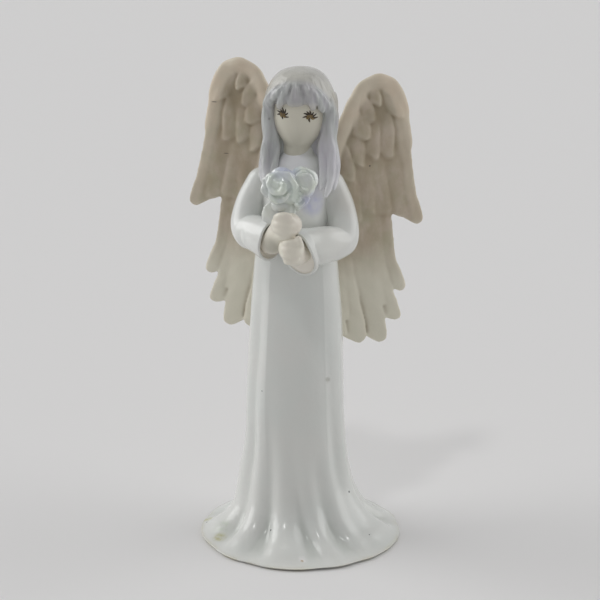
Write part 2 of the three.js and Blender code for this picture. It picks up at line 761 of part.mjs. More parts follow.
// Rows of feathers from the lowest layer to the top one: where the first and last feathers start,
// where each one ends, and half their width, all in shares of the span and the height
const featherRowShares = [
  {
    roots: [[0.2, 0.34], [0.34, 0.42], [0.6, 0.54]],
    ends: [[0.29, 0.035], [0.46, 0.008], [0.65, 0.005], [0.775, 0.092], [0.825, 0.208]],
    halfWidth: 0.098,
  },
  {
    roots: [[0.3, 0.66], [0.46, 0.76], [0.64, 0.78], [0.845, 0.76]],
    ends: [[0.42, 0.458], [0.53, 0.478], [0.66, 0.474], [0.8, 0.462], [0.93, 0.444]],
    halfWidth: 0.086,
  },
  {
    roots: [[0.28, 0.76], [0.45, 0.86], [0.76, 0.88]],
    ends: [[0.31, 0.62], [0.47, 0.69], [0.63, 0.69], [0.8, 0.685]],
    halfWidth: 0.086,
  },
  {
    roots: [[0.24, 0.76], [0.36, 0.88], [0.5, 0.93], [0.74, 0.92]],
    ends: [[0.3, 0.71], [0.42, 0.79], [0.54, 0.825], [0.68, 0.835], [0.81, 0.83]],
    halfWidth: 0.08,
  },
];
const featherShares = [[0, 0.55], [0.45, 0.96], [0.7, 1], [0.88, 0.92], [1, 0.5]];
// The thick front edge of a wing, from its root up over the top to where the outer feathers start
const rimShares = [
  [0.07, 0.5], [0.1, 0.6], [0.14, 0.69], [0.21, 0.77], [0.29, 0.845], [0.37, 0.91], [0.46, 0.952],
  [0.56, 0.97], [0.66, 0.962], [0.735, 0.935], [0.795, 0.89], [0.825, 0.835], [0.84, 0.76], [0.85, 0.69],
];
const rootShares = [[0.02, 0.36], [0.05, 0.5], [0.08, 0.64]];
// Broad thin shapes that close the wing behind its feathers: their middle lines and half widths
const backingShares = [
  {
    line: [[0.56, 0.955], [0.53, 0.8], [0.5, 0.65], [0.53, 0.49]],
    halfWidths: [[0, 0.12], [0.33, 0.3], [1, 0.37]],
  },
  {
    line: [[0.36, 0.6], [0.45, 0.4], [0.58, 0.14]],
    halfWidths: [[0, 0.3], [0.5, 0.3], [0.8, 0.24], [1, 0.14]],
  },
  {
    line: [[0.12, 0.64], [0.2, 0.35], [0.28, 0.1]],
    halfWidths: [[0, 0.1], [0.7, 0.11], [1, 0.05]],
  },
];

function alongLine(line, t) {
  const place = t * (line.length - 1);
  const i = Math.min(Math.floor(place), line.length - 2);
  return [0, 1].map((axis) => mix(line[i][axis], line[i + 1][axis], place - i));
}

function wing(seat) {
  const at = ([spanShare, heightShare], z = 0) => V(spanShare * wingSpan, heightShare * wingHeight, z);
  const front = V(0, 0, 1);
  const feather = ([root, end], raise, halfWidth) => {
    const [start, finish] = [at(root, raise * 0.4), at(end, raise)];
    const across = finish.clone().sub(start).cross(front).normalize();
    const radii = (t) => [
      halfWidth * wingSpan * between(featherShares, t),
      (featherThickness / 2) * mix(0.6, 1, t) * rounded(t, 0.12, 0.5),
    ];
    return rod([start, finish], radii, across, [0, 0.45, 0.88, 1], 4);
  };
  const feathers = featherRowShares.flatMap(({ roots, ends, halfWidth }, row) =>
    ends.map((end, i) => {
      const start = alongLine(roots, i / (ends.length - 1));
      return feather([start, end], featherRaise * row, halfWidth);
    }),
  );
  const backing = backingShares.map(({ line, halfWidths }) =>
    rod(
      line.map((share) => at(share, -featherRaise)),
      (t) => [wingSpan * between(halfWidths, t), backingThickness / 2],
      V(1, 0, 0), even(4), 6,
    ),
  );
  const rimHalves = (t) => Array(2).fill((rimThickness / 2) * rounded(t, 0.1, 0.4));
  const rim = rod(rimShares.map((share) => at(share)), rimHalves, front, even(13), 6);
  const root = rod(
    rootShares.map((share) => at(share)),
    (t) => [wingSpan * 0.12 * rounded(t, 0.3, 0.4), (rootThickness / 2) * rounded(t, 0.3, 0.4)],
    V(1, 0, 0), even(3), 6,
  );
  return [root, rim, ...backing, ...feathers].map((geometry) => seatWing(geometry, seat));
}

// Assembly

const glaze = { roughness: 0.12, metalness: 0 };
const bisque = { roughness: 0.62, metalness: 0 };
const materials = {
  white: new THREE.MeshStandardMaterial({ color: 0xe3e5e1, ...glaze }),
  skin: new THREE.MeshStandardMaterial({ color: 0xd9d3c6, roughness: 0.4, metalness: 0 }),
  hair: new THREE.MeshStandardMaterial({ color: 0xb4bdca, ...glaze }),
  petal: new THREE.MeshStandardMaterial({ color: 0xc4cfd2, ...glaze }),
  leaf: new THREE.MeshStandardMaterial({ color: 0xc0cfc2, ...glaze }),
  wing: new THREE.MeshStandardMaterial({ color: 0xb8a896, ...bisque }),
};

const figurine = new THREE.Group();
figurine.name = "angel_figurine";

// Pieces already placed, as shapes swollen by the slip gap, for the next ones to be cut by
let placed = null;

function add(name, material, shapes, { cut = [], cutBy = shapes } = {}) {
  let body = fused(shapes);
  for (const shape of cut) body = body.subtract(solid(shape));
  if (placed) body = body.subtract(placed);
  const piece = new THREE.Mesh(geometryOf(largest(body)), materials[material]);
  piece.name = name;
  figurine.add(piece);
  let space = clearOf(cutBy);
  for (const shape of cut) space = space.subtract(solid(swollen(shape, -slipGap)));
  placed = placed ? placed.add(space) : space;
}

add("robe", "white", [robeShell()], { cut: [robeHollow(), neckSocket()] });
add("head", "skin", [skull(), neck(), nose()]);
for (const [name, arm] of Object.entries(arms))
  add(`sleeve_${name}`, "white", [sleeveOuter(arm)], { cut: [cuffHollow(arm)] });
add("stems", "leaf", [stems()]);
for (const [name, arm] of Object.entries(arms)) add(`hand_${name}`, "skin", hand(arm));
add("hair_crown", "hair", [hairOuter()], { cut: [faceWindow()] });
add("lock_left", "hair", lock(arms.left, leftLockDrop));
add("lock_right", "hair", lock(arms.right, rightLockDrop));
add("hair_back", "hair", hairBack());
for (const [name, shares] of Object.entries(blossomShares)) {
  const { size, facing, petals } = shares;
  add(name, "petal", blossom(blossomMiddle(shares), V(...facing), blossomWidth * size, petals));
}
for (const [name, degrees] of Object.entries(leafAngles)) add(name, "leaf", [leaf(degrees)]);
for (const [name, seat] of Object.entries(wingSeats)) add(`wing_${name}`, "wing", wing(seat));

// The origin is under the middle of the whole figurine, so that it stands centred
const box = new THREE.Box3().setFromObject(figurine);
const centre = box.getCenter(V(0, 0, 0));
figurine.children.forEach((piece) => piece.geometry.translate(-centre.x, -centre.y, -box.min.z));

export default figurine;
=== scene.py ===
"""A small porcelain angel with feathered wings and a bunch of flowers, on a pale table.

Shapes are worked out in millimetres about the figure's own upright axis, facing -Y, and are
brought to metres in the solids' frame when they become objects. Left and right are the figure's own.
"""
import math

import bpy
import numpy as np
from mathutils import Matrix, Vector
from mathutils.bvhtree import BVHTree


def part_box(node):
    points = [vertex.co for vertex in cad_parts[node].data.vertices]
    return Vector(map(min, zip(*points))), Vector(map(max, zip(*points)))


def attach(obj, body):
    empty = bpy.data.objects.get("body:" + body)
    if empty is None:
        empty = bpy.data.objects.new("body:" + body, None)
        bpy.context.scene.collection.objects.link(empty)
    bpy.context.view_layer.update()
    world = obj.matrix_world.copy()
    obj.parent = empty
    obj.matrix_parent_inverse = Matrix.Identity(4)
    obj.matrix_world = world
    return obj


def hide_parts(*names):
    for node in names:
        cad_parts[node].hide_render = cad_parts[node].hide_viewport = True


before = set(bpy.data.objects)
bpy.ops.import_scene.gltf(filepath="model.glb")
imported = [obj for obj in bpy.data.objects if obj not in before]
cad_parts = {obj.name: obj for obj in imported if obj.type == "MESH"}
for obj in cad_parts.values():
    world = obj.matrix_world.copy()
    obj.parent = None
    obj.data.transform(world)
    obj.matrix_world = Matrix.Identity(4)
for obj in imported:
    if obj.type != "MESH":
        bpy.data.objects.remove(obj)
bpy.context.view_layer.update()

scene = bpy.context.scene

MM = 0.001
HAIR_REACH = 12.0  # from the figure's axis to the back of the hair
crown_low, crown_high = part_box("hair_crown")
AXIS = np.array([(crown_low[0] + crown_high[0]) / 2, crown_high[1] - HAIR_REACH * MM, 0.0])


# Curves

def smooth_between(pairs):
    """A smooth function through (place, value) pairs that doesn't overshoot between them."""
    places, values = np.array(list(pairs), float).T
    slopes = np.diff(values) / np.diff(places)
    tangents = np.concatenate([slopes[:1], np.zeros(len(slopes) - 1), slopes[-1:]])
    product = slopes[:-1] * slopes[1:]
    total = np.where(product > 0, slopes[:-1] + slopes[1:], 1.0)
    tangents[1:-1] = np.where(product > 0, 2 * product / total, 0.0)

    def value_at(at):
        at = np.clip(at, places[0], places[-1])
        i = np.clip(np.searchsorted(places, at, side="right") - 1, 0, len(places) - 2)
        width = places[i + 1] - places[i]
        t = (at - places[i]) / width
        return (
            (2 * t**3 - 3 * t**2 + 1) * values[i]
            + (t**3 - 2 * t**2 + t) * width * tangents[i]
            + (3 * t**2 - 2 * t**3) * values[i + 1]
            + (t**3 - t**2) * width * tangents[i + 1]
        )

    return value_at


def spline(points, t):
    """Places and directions at shares t of a smooth curve through points."""
    p = np.array(points, float)
    spans = len(p) - 1
    ends = np.vstack([2 * p[0] - p[1], p, 2 * p[-1] - p[-2]])

    def place(share):
        s = np.clip(share, 0, 1) * spans
        i = np.minimum(s.astype(int), spans - 1)
        w = (s - i)[:, None]
        a, b, c, d = ends[i], ends[i + 1], ends[i + 2], ends[i + 3]
        ab, bc, cd = (
            np.maximum(np.sum((v - u) ** 2, 1) ** 0.25, 1e-4)[:, None] for u, v in ((a, b), (b, c), (c, d))
        )
        start = ((b - a) / ab - (c - a) / (ab + bc) + (c - b) / bc) * bc
        finish = ((c - b) / bc - (d - b) / (bc + cd) + (d - c) / cd) * bc
        square, cube = 3 * (c - b) - 2 * start - finish, 2 * (b - c) + start + finish
        return b + start * w + square * w**2 + cube * w**3

    step = 1e-3
    along = place(np.minimum(t + step, 1)) - place(np.maximum(t - step, 0))
    return place(t), along / np.linalg.norm(along, axis=1)[:, None]


def rounded(t, share, least):
    """1 along a rod's middle, falling round to least at both ends."""
    near = np.clip(np.minimum(t, 1 - t) / share, 0, 1)
    return np.maximum(least, np.sqrt(1 - (1 - near) ** 2))


def smoothstep(x, low, high):
    """0 at low and before it, 1 at high and past it, and smooth between them."""
    t = np.clip((x - low) / (high - low), 0, 1)
    return t * t * (3 - 2 * t)


def bell(x, middle, half):
    return np.exp(-(((x - middle) / half) ** 2))


def mix(a, b, t):
    return a + (b - a) * t


def waves(points, length, seed):
    """Gentle seeded unevenness between -1 and 1, with waves of about that length."""
    count = 7
    rng = np.random.default_rng(seed)
    ways = rng.normal(size=(count, 3))
    ways /= np.linalg.norm(ways, axis=1)[:, None] * length * rng.uniform(0.7, 1.5, (count, 1))
    return np.sin(points @ ways.T * 2 * math.pi + rng.uniform(0, 2 * math.pi, count)).mean(axis=-1) * 1.6


def circle(count):
    """Cosines and sines of even steps round a circle."""
    angle = np.linspace(0, 2 * math.pi, count, endpoint=False)
    return np.cos(angle), np.sin(angle)


def all_round(count):
    return np.linspace(-180, 180, count, endpoint=False)


def round180(degrees):
    return (degrees + 180) % 360 - 180


# Surfaces: each is (points, quads, triangles)

def unit(v):
    v = np.asarray(v, float)
    return v / np.linalg.norm(v, axis=-1, keepdims=True)


def volume_of(points, quads, tris):
    """Six times the volume inside, which is below 0 where the faces look inwards."""
    faces = np.vstack([quads[:, [0, 1, 2]], quads[:, [0, 2, 3]], tris])
    a, b, c = (points[faces[:, k]] for k in range(3))
    return np.sum(a * np.cross(b, c))


def skin(rings):
    """A closed surface over rings of as many points each, with a fan over either end."""
    rows, count = rings.shape[:2]
    k = np.arange(count)
    after = (k + 1) % count
    start = (np.arange(rows - 1) * count)[:, None]
    quads = np.stack([start + k, start + after, start + count + after, start + count + k], -1).reshape(-1, 4)
    last, middle = (rows - 1) * count, rows * count
    tris = np.vstack([
        np.stack([after, k, np.full(count, middle)], 1),
        np.stack([last + k, last + after, np.full(count, middle + 1)], 1),
    ])
    points = np.vstack([rings.reshape(-1, 3), rings[0].mean(0), rings[-1].mean(0)])
    if volume_of(points, quads, tris) < 0:
        quads, tris = quads[:, ::-1], tris[:, ::-1]
    return points, quads, tris


def swept(path, wide, t):
    """Places on a path, and the ways along it, across it towards wide, and up from both."""
    middle, along = spline(path, t)
    wide = np.asarray(wide, float)
    across = unit(wide - along * (along @ wide)[:, None])
    return middle, along, across, np.cross(along, across)


def rod(path, halves, wide, steps, count):
    """A closed rod along a path. halves(t) gives its half width along wide and half thickness."""
    t = np.linspace(0, 1, steps)
    middle, _, across, up = swept(path, wide, t)
    half_width, half_thickness = (np.broadcast_to(half, t.shape) for half in halves(t))
    c, s = circle(count)
    return skin(
        middle[:, None]
        + across[:, None] * (half_width[:, None] * c)[..., None]
        + up[:, None] * (half_thickness[:, None] * s)[..., None]
    )


def blunt(half_width, half_thickness, share, least):
    """Halves for a rod of one size that is rounded at both ends."""
    return lambda t: (half_width * rounded(t, share, least), half_thickness * rounded(t, share, least))


def ball(middle, halves):
    c, s = circle(32)
    t = np.linspace(0, math.pi, 32)[1:-1, None]
    return skin(np.stack([np.sin(t) * c, np.sin(t) * s, np.cos(t) + 0 * c], -1) * halves + middle)


def joined(parts):
    """One surface of several, each still closed by itself."""
    points, quads, tris = zip(*parts)
    offsets = np.cumsum([0, *map(len, points)])
    return (
        np.vstack(points),
        np.vstack([faces + offset for faces, offset in zip(quads, offsets)]),
        np.vstack([faces + offset for faces, offset in zip(tris, offsets)]),
    )


def new_object(name, points, faces):
    mesh = bpy.data.meshes.new(name)
    mesh.from_pydata(points, [], faces)
    made = bpy.data.objects.new(name, mesh)
    scene.collection.objects.link(made)
    return made


def melted(parts, voxel, rounds):
    """The parts melted into one skin, as slip joins them under the glaze, and smoothed."""
    points, quads, tris = joined(parts)
    holder = new_object("melting", points.tolist(), quads.tolist() + tris.tolist())
    mesh = holder.data
    melt = holder.modifiers.new("melt", "REMESH")
    melt.mode = "VOXEL"
    melt.voxel_size = voxel
    whole = holder.evaluated_get(bpy.context.evaluated_depsgraph_get()).to_mesh()
    points = np.empty(len(whole.vertices) * 3)
    whole.vertices.foreach_get("co", points)
    corners = np.empty(len(whole.loops), int)
    whole.loops.foreach_get("vertex_index", corners)
    bpy.data.objects.remove(holder)
    bpy.data.meshes.remove(mesh)
    points, quads = outer_skin(points.reshape(-1, 3), corners.reshape(-1, 4))
    return relaxed(points, quads, rounds), quads, np.empty((0, 3), int)


def outer_skin(points, quads):
    """Only the largest connected skin, without bubbles inside it."""
    label = np.arange(len(points))
    while True:
        low = label[quads].min(1)
        new = label.copy()
        for k in range(4):
            np.minimum.at(new, quads[:, k], low)
        new = new[new]
        if np.array_equal(new, label):
            break
        label = new
    names, sizes = np.unique(label, return_counts=True)
    keep = label == names[np.argmax(sizes)]
    place = np.cumsum(keep) - 1
    return points[keep], place[quads[keep[quads[:, 0]]]]


def relaxed(points, quads, rounds, amount=0.5):
    """The points, moved in each round a share of the way to the middle of their neighbours."""
    a, b = quads.ravel(), np.roll(quads, -1, axis=1).ravel()
    start, end = np.concatenate([a, b]), np.concatenate([b, a])
    count = len(points)
    degree = np.bincount(start, minlength=count)[:, None]
    out = points.copy()
    for _ in range(rounds):
        total = np.stack([np.bincount(start, out[end, k], count) for k in range(3)], 1)
        out += amount * np.where(degree == 0, 0, total / np.maximum(degree, 1) - out)
    return out


def normals(points, quads):
    a, b, c, d = (points[quads[:, k]] for k in range(4))
    flat = np.cross(c - a, d - b)
    total = np.stack([np.bincount(quads.ravel(), np.repeat(flat[:, k], 4), len(points)) for k in range(3)], 1)
    return total / np.maximum(np.linalg.norm(total, axis=1), 1e-12)[:, None]


def relief(points, quads, rounds):
    """How far each point stands above (+) or below (-) its smoothed surroundings, in mm."""
    return np.sum((points - relaxed(points, quads, rounds, 0.7)) * normals(points, quads), 1)


def tree_of(surface):
    points, quads, _ = surface
    return BVHTree.FromPolygons(points.tolist(), quads.tolist())


def add_piece(name, surface, material, slot, nodes=(), relief_rounds=0, **masks):
    """Makes the visible piece, with a layer for each mask, in place of the nodes."""
    points, quads, tris = surface
    if relief_rounds:
        masks["relief"] = relief(points, quads, relief_rounds)
    piece = new_object(name, (points * MM + AXIS).tolist(), quads.tolist() + tris.tolist())
    piece.data.shade_smooth()
    for mask, values in masks.items():
        layer = piece.data.attributes.new(mask, "FLOAT", "POINT")
        layer.data.foreach_set("value", np.asarray(values, np.float32))
    piece.data.materials.append(material)
    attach(piece, "root")
    if nodes:
        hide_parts(*nodes)


# Materials

def feed(tree, value, socket):
    """Links a socket to the node's output that value is, or sets it to the plain value."""
    if isinstance(value, bpy.types.NodeSocket):
        tree.links.new(value, socket)
    else:
        socket.default_value = value


def node(tree, kind, inputs=None, output=0, **settings):
    """Adds a shader node and gives one of its outputs."""
    made = tree.nodes.new("ShaderNode" + kind)
    for key, value in settings.items():
        setattr(made, key, value)
    for key, value in (inputs or {}).items():
        feed(tree, value, made.inputs[key])
    return made.outputs[output]


def ranged(tree, value, start, end, low, high):
    """low where the value is start, high where it is end, and smooth between them."""
    return node(tree, "MapRange", {
        "Value": value, "From Min": start, "From Max": end, "To Min": low, "To Max": high,
    }, interpolation_type="SMOOTHSTEP")


class Finish:
    """A material that is built up in layers over a first colour."""

    def __init__(self, name, colour):
        self.material = bpy.data.materials.new(name)
        self.material.use_nodes = True
        self.tree = self.material.node_tree
        self.shader = self.tree.nodes["Principled BSDF"]
        self.place = node(self.tree, "TexCoord", output="Object")
        self.colour = (*colour, 1)

    def noise(self, size, detail, low=0.0, high=1.0, upright=None):
        """Cloudy values from low to high, with patches about size mm across, drawn out upwards
        where upright is below 1."""
        place = self.place
        if upright:
            place = node(self.tree, "Mapping", {"Vector": place, "Scale": (1, 1, upright)})
        inputs = {"Vector": place, "Scale": 1 / (size * MM), "Detail": detail}
        return ranged(self.tree, node(self.tree, "TexNoise", inputs, "Fac"), 0.3, 0.7, low, high)

    def mask(self, name, start, end, low=0.0, high=1.0):
        """A layer that the mesh carries, brought into a range."""
        value = node(self.tree, "Attribute", output="Fac", attribute_name=name)
        return ranged(self.tree, value, start, end, low, high)

    def height(self, start, end, low=0.0, high=1.0):
        z = node(self.tree, "SeparateXYZ", {"Vector": self.place}, "Z")
        return ranged(self.tree, z, start * MM, end * MM, low, high)

    def near(self, point, inner, outer, flat=1.0):
        """1 within inner mm of a point on the figure and 0 from outer mm, flat times sooner upwards."""
        middle = Vector(np.array(point) * MM + AXIS)
        away = node(self.tree, "VectorMath", {0: self.place, 1: middle}, operation="SUBTRACT")
        away = node(self.tree, "VectorMath", {0: away, 1: (1, 1, flat)}, operation="MULTIPLY")
        away = node(self.tree, "VectorMath", {0: away}, "Value", operation="LENGTH")
        return ranged(self.tree, away, inner * MM, outer * MM, 1.0, 0.0)

    def times(self, *values):
        total = values[0]
        for value in values[1:]:
            total = node(self.tree, "Math", {0: total, 1: value}, operation="MULTIPLY")
        return total

    def layer(self, share, colour):
        """Mixes a share of a colour into what lies under it."""
        inputs = {0: share, 6: self.colour, 7: (*colour, 1)}
        self.colour = node(self.tree, "Mix", inputs, 2, data_type="RGBA")

    def spot(self, place, inner, outer, share, colour):
        self.layer(self.times(self.near(place, inner, outer), share), colour)

    def bump(self, value, distance):
        socket = self.shader.inputs["Normal"]
        inputs = {"Height": value, "Distance": distance * MM}
        if socket.is_linked:
            inputs["Normal"] = socket.links[0].from_socket
        feed(self.tree, node(self.tree, "Bump", inputs), socket)

    def done(self, roughness, **sockets):
        for key, value in {"Base_Color": self.colour, "Roughness": roughness, **sockets}.items():
            feed(self.tree, value, self.shader.inputs[key.replace("_", " ")])
        return self.material


# Stains in the robe's glaze: place, reach in mm and colour
STAINS = [
    ((-28.75, -2.1, 0.9), 2.4, (0.50, 0.50, 0.24)),
    ((-23.1, -16.1, 1.8), 3.0, (0.52, 0.50, 0.28)),
    ((3.9, -29.2, 2.0), 1.9, (0.84, 0.83, 0.82)),
    ((3.7, -29.8, 1.5), 0.75, (0.40, 0.26, 0.10)),
    ((9.3, -9.0, 51.8), 1.5, (0.50, 0.50, 0.46)),
    ((-23.0, -13.0, 4.5), 4.5, (0.62, 0.66, 0.58)),
]
# Specks of iron in it: place and reach
SPECKS = [
    ((15.3, -6.6, 14.5), 0.42), ((-7.2, -18.9, 6.3), 0.44), ((22.5, -13.4, 2.9), 0.24),
    ((-28.9, -4.5, 0.9), 0.3), ((-10.4, -10.8, 48.2), 0.26),
]
# Painted shade in the deep pockets near the wings' tops, and specks and fine cracks in the wash: place, reach
# and how flat
WING_PAINTED_SHADE = [(21.8, 18.5, 127.6), (-21.0, 17.5, 132.0)]
WING_MARKS = [
    ((19.6, 17.5, 112.1), 0.36, 1), ((-28.1, 16.8, 131.0), 1.3, 6), ((-24.6, 17.0, 115.1), 1.1, 6),
    ((-23.2, 16.9, 138.4), 0.4, 2),
]


def white_glaze(specks):
    f = Finish("white_glaze", (0.71, 0.72, 0.69))
    f.layer(f.noise(22, 2, 0.0, 0.5), (0.66, 0.695, 0.67))
    f.layer(f.noise(9, 3, 0.0, 0.25), (0.73, 0.71, 0.69))
    f.spot((0.0, -6.0, 107.0), 7.0, 15.0, 0.7, (0.82, 0.83, 0.80))  # painted light on the chest, which lies in shade
    # glaze pooled in the hollows, darkened further as painted shade
    f.layer(f.mask("relief", 0.0, -0.8, 0.0, 0.55), (0.53, 0.56, 0.52))
    # painted shade in the hem's folds, where the glaze pools too
    f.layer(f.times(f.mask("fold", 1.2, 3.4, 0.0, 0.12), f.height(14.0, 5.0)), (0.56, 0.59, 0.55))
    f.spot((-16.5, -10.5, 95.0), 4.0, 10.0, 0.6, (0.86, 0.87, 0.84))  # painted light on the right forearm
    f.spot((10.0, -13.0, 97.0), 3.0, 9.0, 0.5, (0.87, 0.865, 0.82))  # painted light on the left forearm
    f.spot((15.0, -2.5, 106.5), 2.0, 7.5, 0.6, (0.56, 0.545, 0.50))  # painted shade on the left upper arm's inner side
    # the cuffs' pale insides, lightened further as painted light against their shade
    f.layer(f.mask("inner", 0.0, 1.0, 0.0, 0.9), (0.84, 0.80, 0.72))
    f.layer(f.height(117.5, 121.5, 0.0, 0.9), (0.70, 0.70, 0.64))
    # lilac lustre under the flowers and the left lock, then painted light on the collar, which lies in shade
    f.layer(f.times(f.near((5.5, -9.0, 106.5), 1.5, 6.0), f.noise(3, 2, 0.5, 1.0)), (0.52, 0.53, 0.72))
    f.spot((7.5, -7.5, 112.0), 1.0, 6.0, 0.4, (0.64, 0.60, 0.74))
    f.spot((-2.0, -6.0, 117.0), 3.0, 7.5, 0.9, (0.84, 0.84, 0.87))
    for place, size, colour in STAINS:
        f.layer(f.times(f.near(place, 0.2 * size, size), f.noise(1.4, 3, 0.2, 1.0)), colour)
    # the bare clay of the foot
    f.layer(f.times(f.height(1.3, 0.3), f.noise(7, 3, 0.0, 0.8)), (0.55, 0.50, 0.30))
    for place, size in specks:
        f.layer(f.near(place, 0.5 * size, size), (0.06, 0.065, 0.07))
    f.bump(f.noise(1.1, 2), 0.012)
    f.bump(f.noise(7, 2), 0.05)
    return f.done(f.noise(5, 3, 0.19, 0.25), Coat_Weight=0.35, Coat_Roughness=0.16, Specular_IOR_Level=0.4)


def flesh_glaze():
    f = Finish("flesh_glaze", (0.77, 0.74, 0.635))
    f.layer(f.noise(6, 3, 0.0, 0.5), (0.75, 0.68, 0.61))
    # under the fringe, the whole head, and painted shade on the lower face and neck
    f.layer(f.times(f.height(133.5, 137.0), 0.8), (0.54, 0.54, 0.53))
    f.layer(f.times(f.height(118.0, 122.5), 0.8), (0.61, 0.585, 0.49))
    f.layer(f.times(f.height(129.0, 122.5), f.height(116.0, 118.0), 0.7), (0.57, 0.55, 0.46))
    f.spot((-1.8, -20.5, 103.3), 1.0, 3.6, 0.6, (0.70, 0.71, 0.54))  # painted highlight on the top of the right fist
    f.spot((-6.5, -20.0, 95.8), 1.5, 4.8, 0.85, (0.44, 0.425, 0.35))  # painted shade on the right wrist
    # painted shade in the creases
    f.layer(f.mask("relief", 0.0, -0.4, 0.0, 0.6), (0.48, 0.42, 0.31))
    f.bump(f.noise(0.9, 2), 0.01)
    return f.done(f.noise(3, 3, 0.32, 0.42), Coat_Weight=0.25, Coat_Roughness=0.2)


def hair_glaze():
    f = Finish("hair_glaze", (0.49, 0.49, 0.495))
    f.layer(f.noise(6, 3, 0.0, 0.9), (0.52, 0.50, 0.55))
    f.layer(f.noise(4, 2, 0.0, 0.7, 0.3), (0.50, 0.55, 0.50))
    f.layer(f.noise(2.4, 3, 0.0, 0.45, 0.22), (0.35, 0.34, 0.37))
    # painted highlight on the strands' ridges, then painted shade in the grooves between them
    f.layer(f.mask("relief", 0.0, 0.22, 0.0, 0.85), (0.62, 0.64, 0.62))
    f.layer(f.mask("relief", -0.03, -0.45, 0.0, 0.6), (0.35, 0.34, 0.35))
    f.layer(f.height(120.0, 111.0, 0.0, 0.85), (0.75, 0.75, 0.77))
    f.spot((9.5, -7.0, 120.0), 2.0, 8.0, 0.6, (0.68, 0.66, 0.72))  # left lock
    f.spot((1.0, -9.5, 138.0), 2.0, 6.0, 0.45, (0.37, 0.35, 0.36))  # painted shade in the grooves at the fringe's roots
    f.layer(f.mask("crown", 0.0, 1.0, 0.0, 0.95), (0.50, 0.49, 0.455))
    f.layer(f.times(f.mask("crown", 0.5, 1.0), f.noise(9, 2, 0.0, 0.7)), (0.56, 0.55, 0.50))
    # the fringe's thin ends, then a speck
    f.layer(f.times(f.height(136.6, 134.6), f.near((0.0, -9.5, 134.5), 5.0, 7.5), 0.6), (0.60, 0.57, 0.53))
    f.layer(f.near((-8.1, -6.6, 130.6), 0.3, 0.8), (0.10, 0.10, 0.10))
    f.bump(f.noise(1.0, 2), 0.01)
    f.bump(f.noise(2.2, 2, upright=0.22), 0.22)
    return f.done(f.noise(4, 3, 0.19, 0.26), Coat_Weight=0.3, Coat_Roughness=0.12, Specular_IOR_Level=0.35)


def petal_glaze(name, first, second, third):
    f = Finish(name, first)
    f.layer(f.noise(4, 3, 0.0, 0.8), second)
    f.layer(f.noise(6, 2, 0.0, 0.7), third)
    f.spot((-2.5, -18.0, 117.5), 1.0, 5.5, 0.9, (0.47, 0.50, 0.64))  # lilac at the bunch's top
    f.spot((-8.2, -20.4, 106.8), 1.5, 4.5, 0.8, (0.80, 0.82, 0.76))  # pale at its right
    f.spot((5.5, -18.5, 108.5), 1.5, 5.0, 0.85, (0.49, 0.50, 0.67))  # lilac at its left
    # painted highlight on the petals' ridges, then painted shade in their creases
    f.layer(f.mask("relief", 0.0, 0.25, 0.0, 0.7), (0.78, 0.81, 0.75))
    f.layer(f.mask("relief", -0.02, -0.35, 0.0, 0.75), (0.36, 0.42, 0.36))
    f.bump(f.noise(0.8, 2), 0.01)
    return f.done(f.noise(3, 3, 0.06, 0.14), Coat_Weight=1.0, Coat_Roughness=0.03)


def wing_bisque():
    f = Finish("wing_bisque", (0.46, 0.39, 0.29))
    f.layer(f.noise(9, 3, 0.0, 0.9), (0.47, 0.44, 0.32))
    f.layer(f.noise(4, 3, 0.0, 0.6), (0.60, 0.51, 0.43))
    f.layer(f.noise(4.5, 4, 0.0, 0.6, 0.45), (0.36, 0.285, 0.19))
    f.layer(f.mask("low", 0.0, 1.0, 0.0, 0.85), (0.76, 0.735, 0.62))
    # painted highlight on the feathers' raised edges, then the brown wash that pools in the grooves
    f.layer(f.mask("relief", 0.0, 0.35, 0.0, 0.6), (0.76, 0.70, 0.58))
    f.layer(f.mask("relief", 0.02, -0.26, 0.0, 0.9), (0.25, 0.195, 0.12))
    f.layer(f.mask("rim", 0.0, 1.0, 0.0, 0.65), (0.73, 0.655, 0.53))
    f.layer(f.times(f.mask("rim", 0.3, 1.0), f.noise(7, 2, 0.0, 0.4)), (0.70, 0.56, 0.43))
    # painted shade in the deep pockets near the wings' tops
    for place in WING_PAINTED_SHADE:
        f.spot(place, 1.0, 5.5, 0.55, (0.24, 0.195, 0.115))
    for place, reach, flat in WING_MARKS:
        f.layer(f.near(place, 0.4 * reach, reach, flat), (0.12, 0.10, 0.08))
    f.bump(f.noise(0.35, 3), 0.012)
    f.bump(f.noise(2.5, 3), 0.05)
    return f.done(f.noise(4, 3, 0.45, 0.6), Specular_IOR_Level=0.4, Coat_Weight=0.25, Coat_Roughness=0.16)


def paint(name, colour, size, share, second):
    """A brushed colour that turns by a share to a second one in patches about size mm across."""
    f = Finish(name, colour)
    f.layer(f.noise(size, 2, 0.0, share), second)
    return f


# Robe

HEM_WIDTH, HEM_DEPTH, HEM_FORWARD = 61.8, 59.5, 4.1
BASE_WIDTH, BASE_DEPTH = 31.4, 28.5  # of the column that the flare is added to
FLARE = 15.2  # the smaller, the lower the skirt flares out
LIP = 0.9  # height of the hem's rolled edge
HEM_SWELL = 1.3  # how far the robe rises between the hem's folds
SWAY = 1.2  # how far the body leans to its right
WALL, HOLLOW_TOP = 2.6, 97
FOLD_ROOM = 2.3  # by which the hollow's plain shape stays clear of the folds
KNEE, WAIST, CHEST, SHOULDER, COLLAR = 44, 84, 104, 113, 119.6
LEVELS = (0, KNEE, WAIST, CHEST, SHOULDER, 117, COLLAR)
column_width = smooth_between(zip(LEVELS, (BASE_WIDTH, 30.2, 25.4, 20.4, 21.0, 18.4, 12.2)))
column_depth = smooth_between(zip(LEVELS, (BASE_DEPTH, 27.5, 22, 18.6, 15.0, 13.4, 11.3)))
sway_at = smooth_between([(0, 0.7), (KNEE, -SWAY), (CHEST, -SWAY), (COLLAR, 0)])

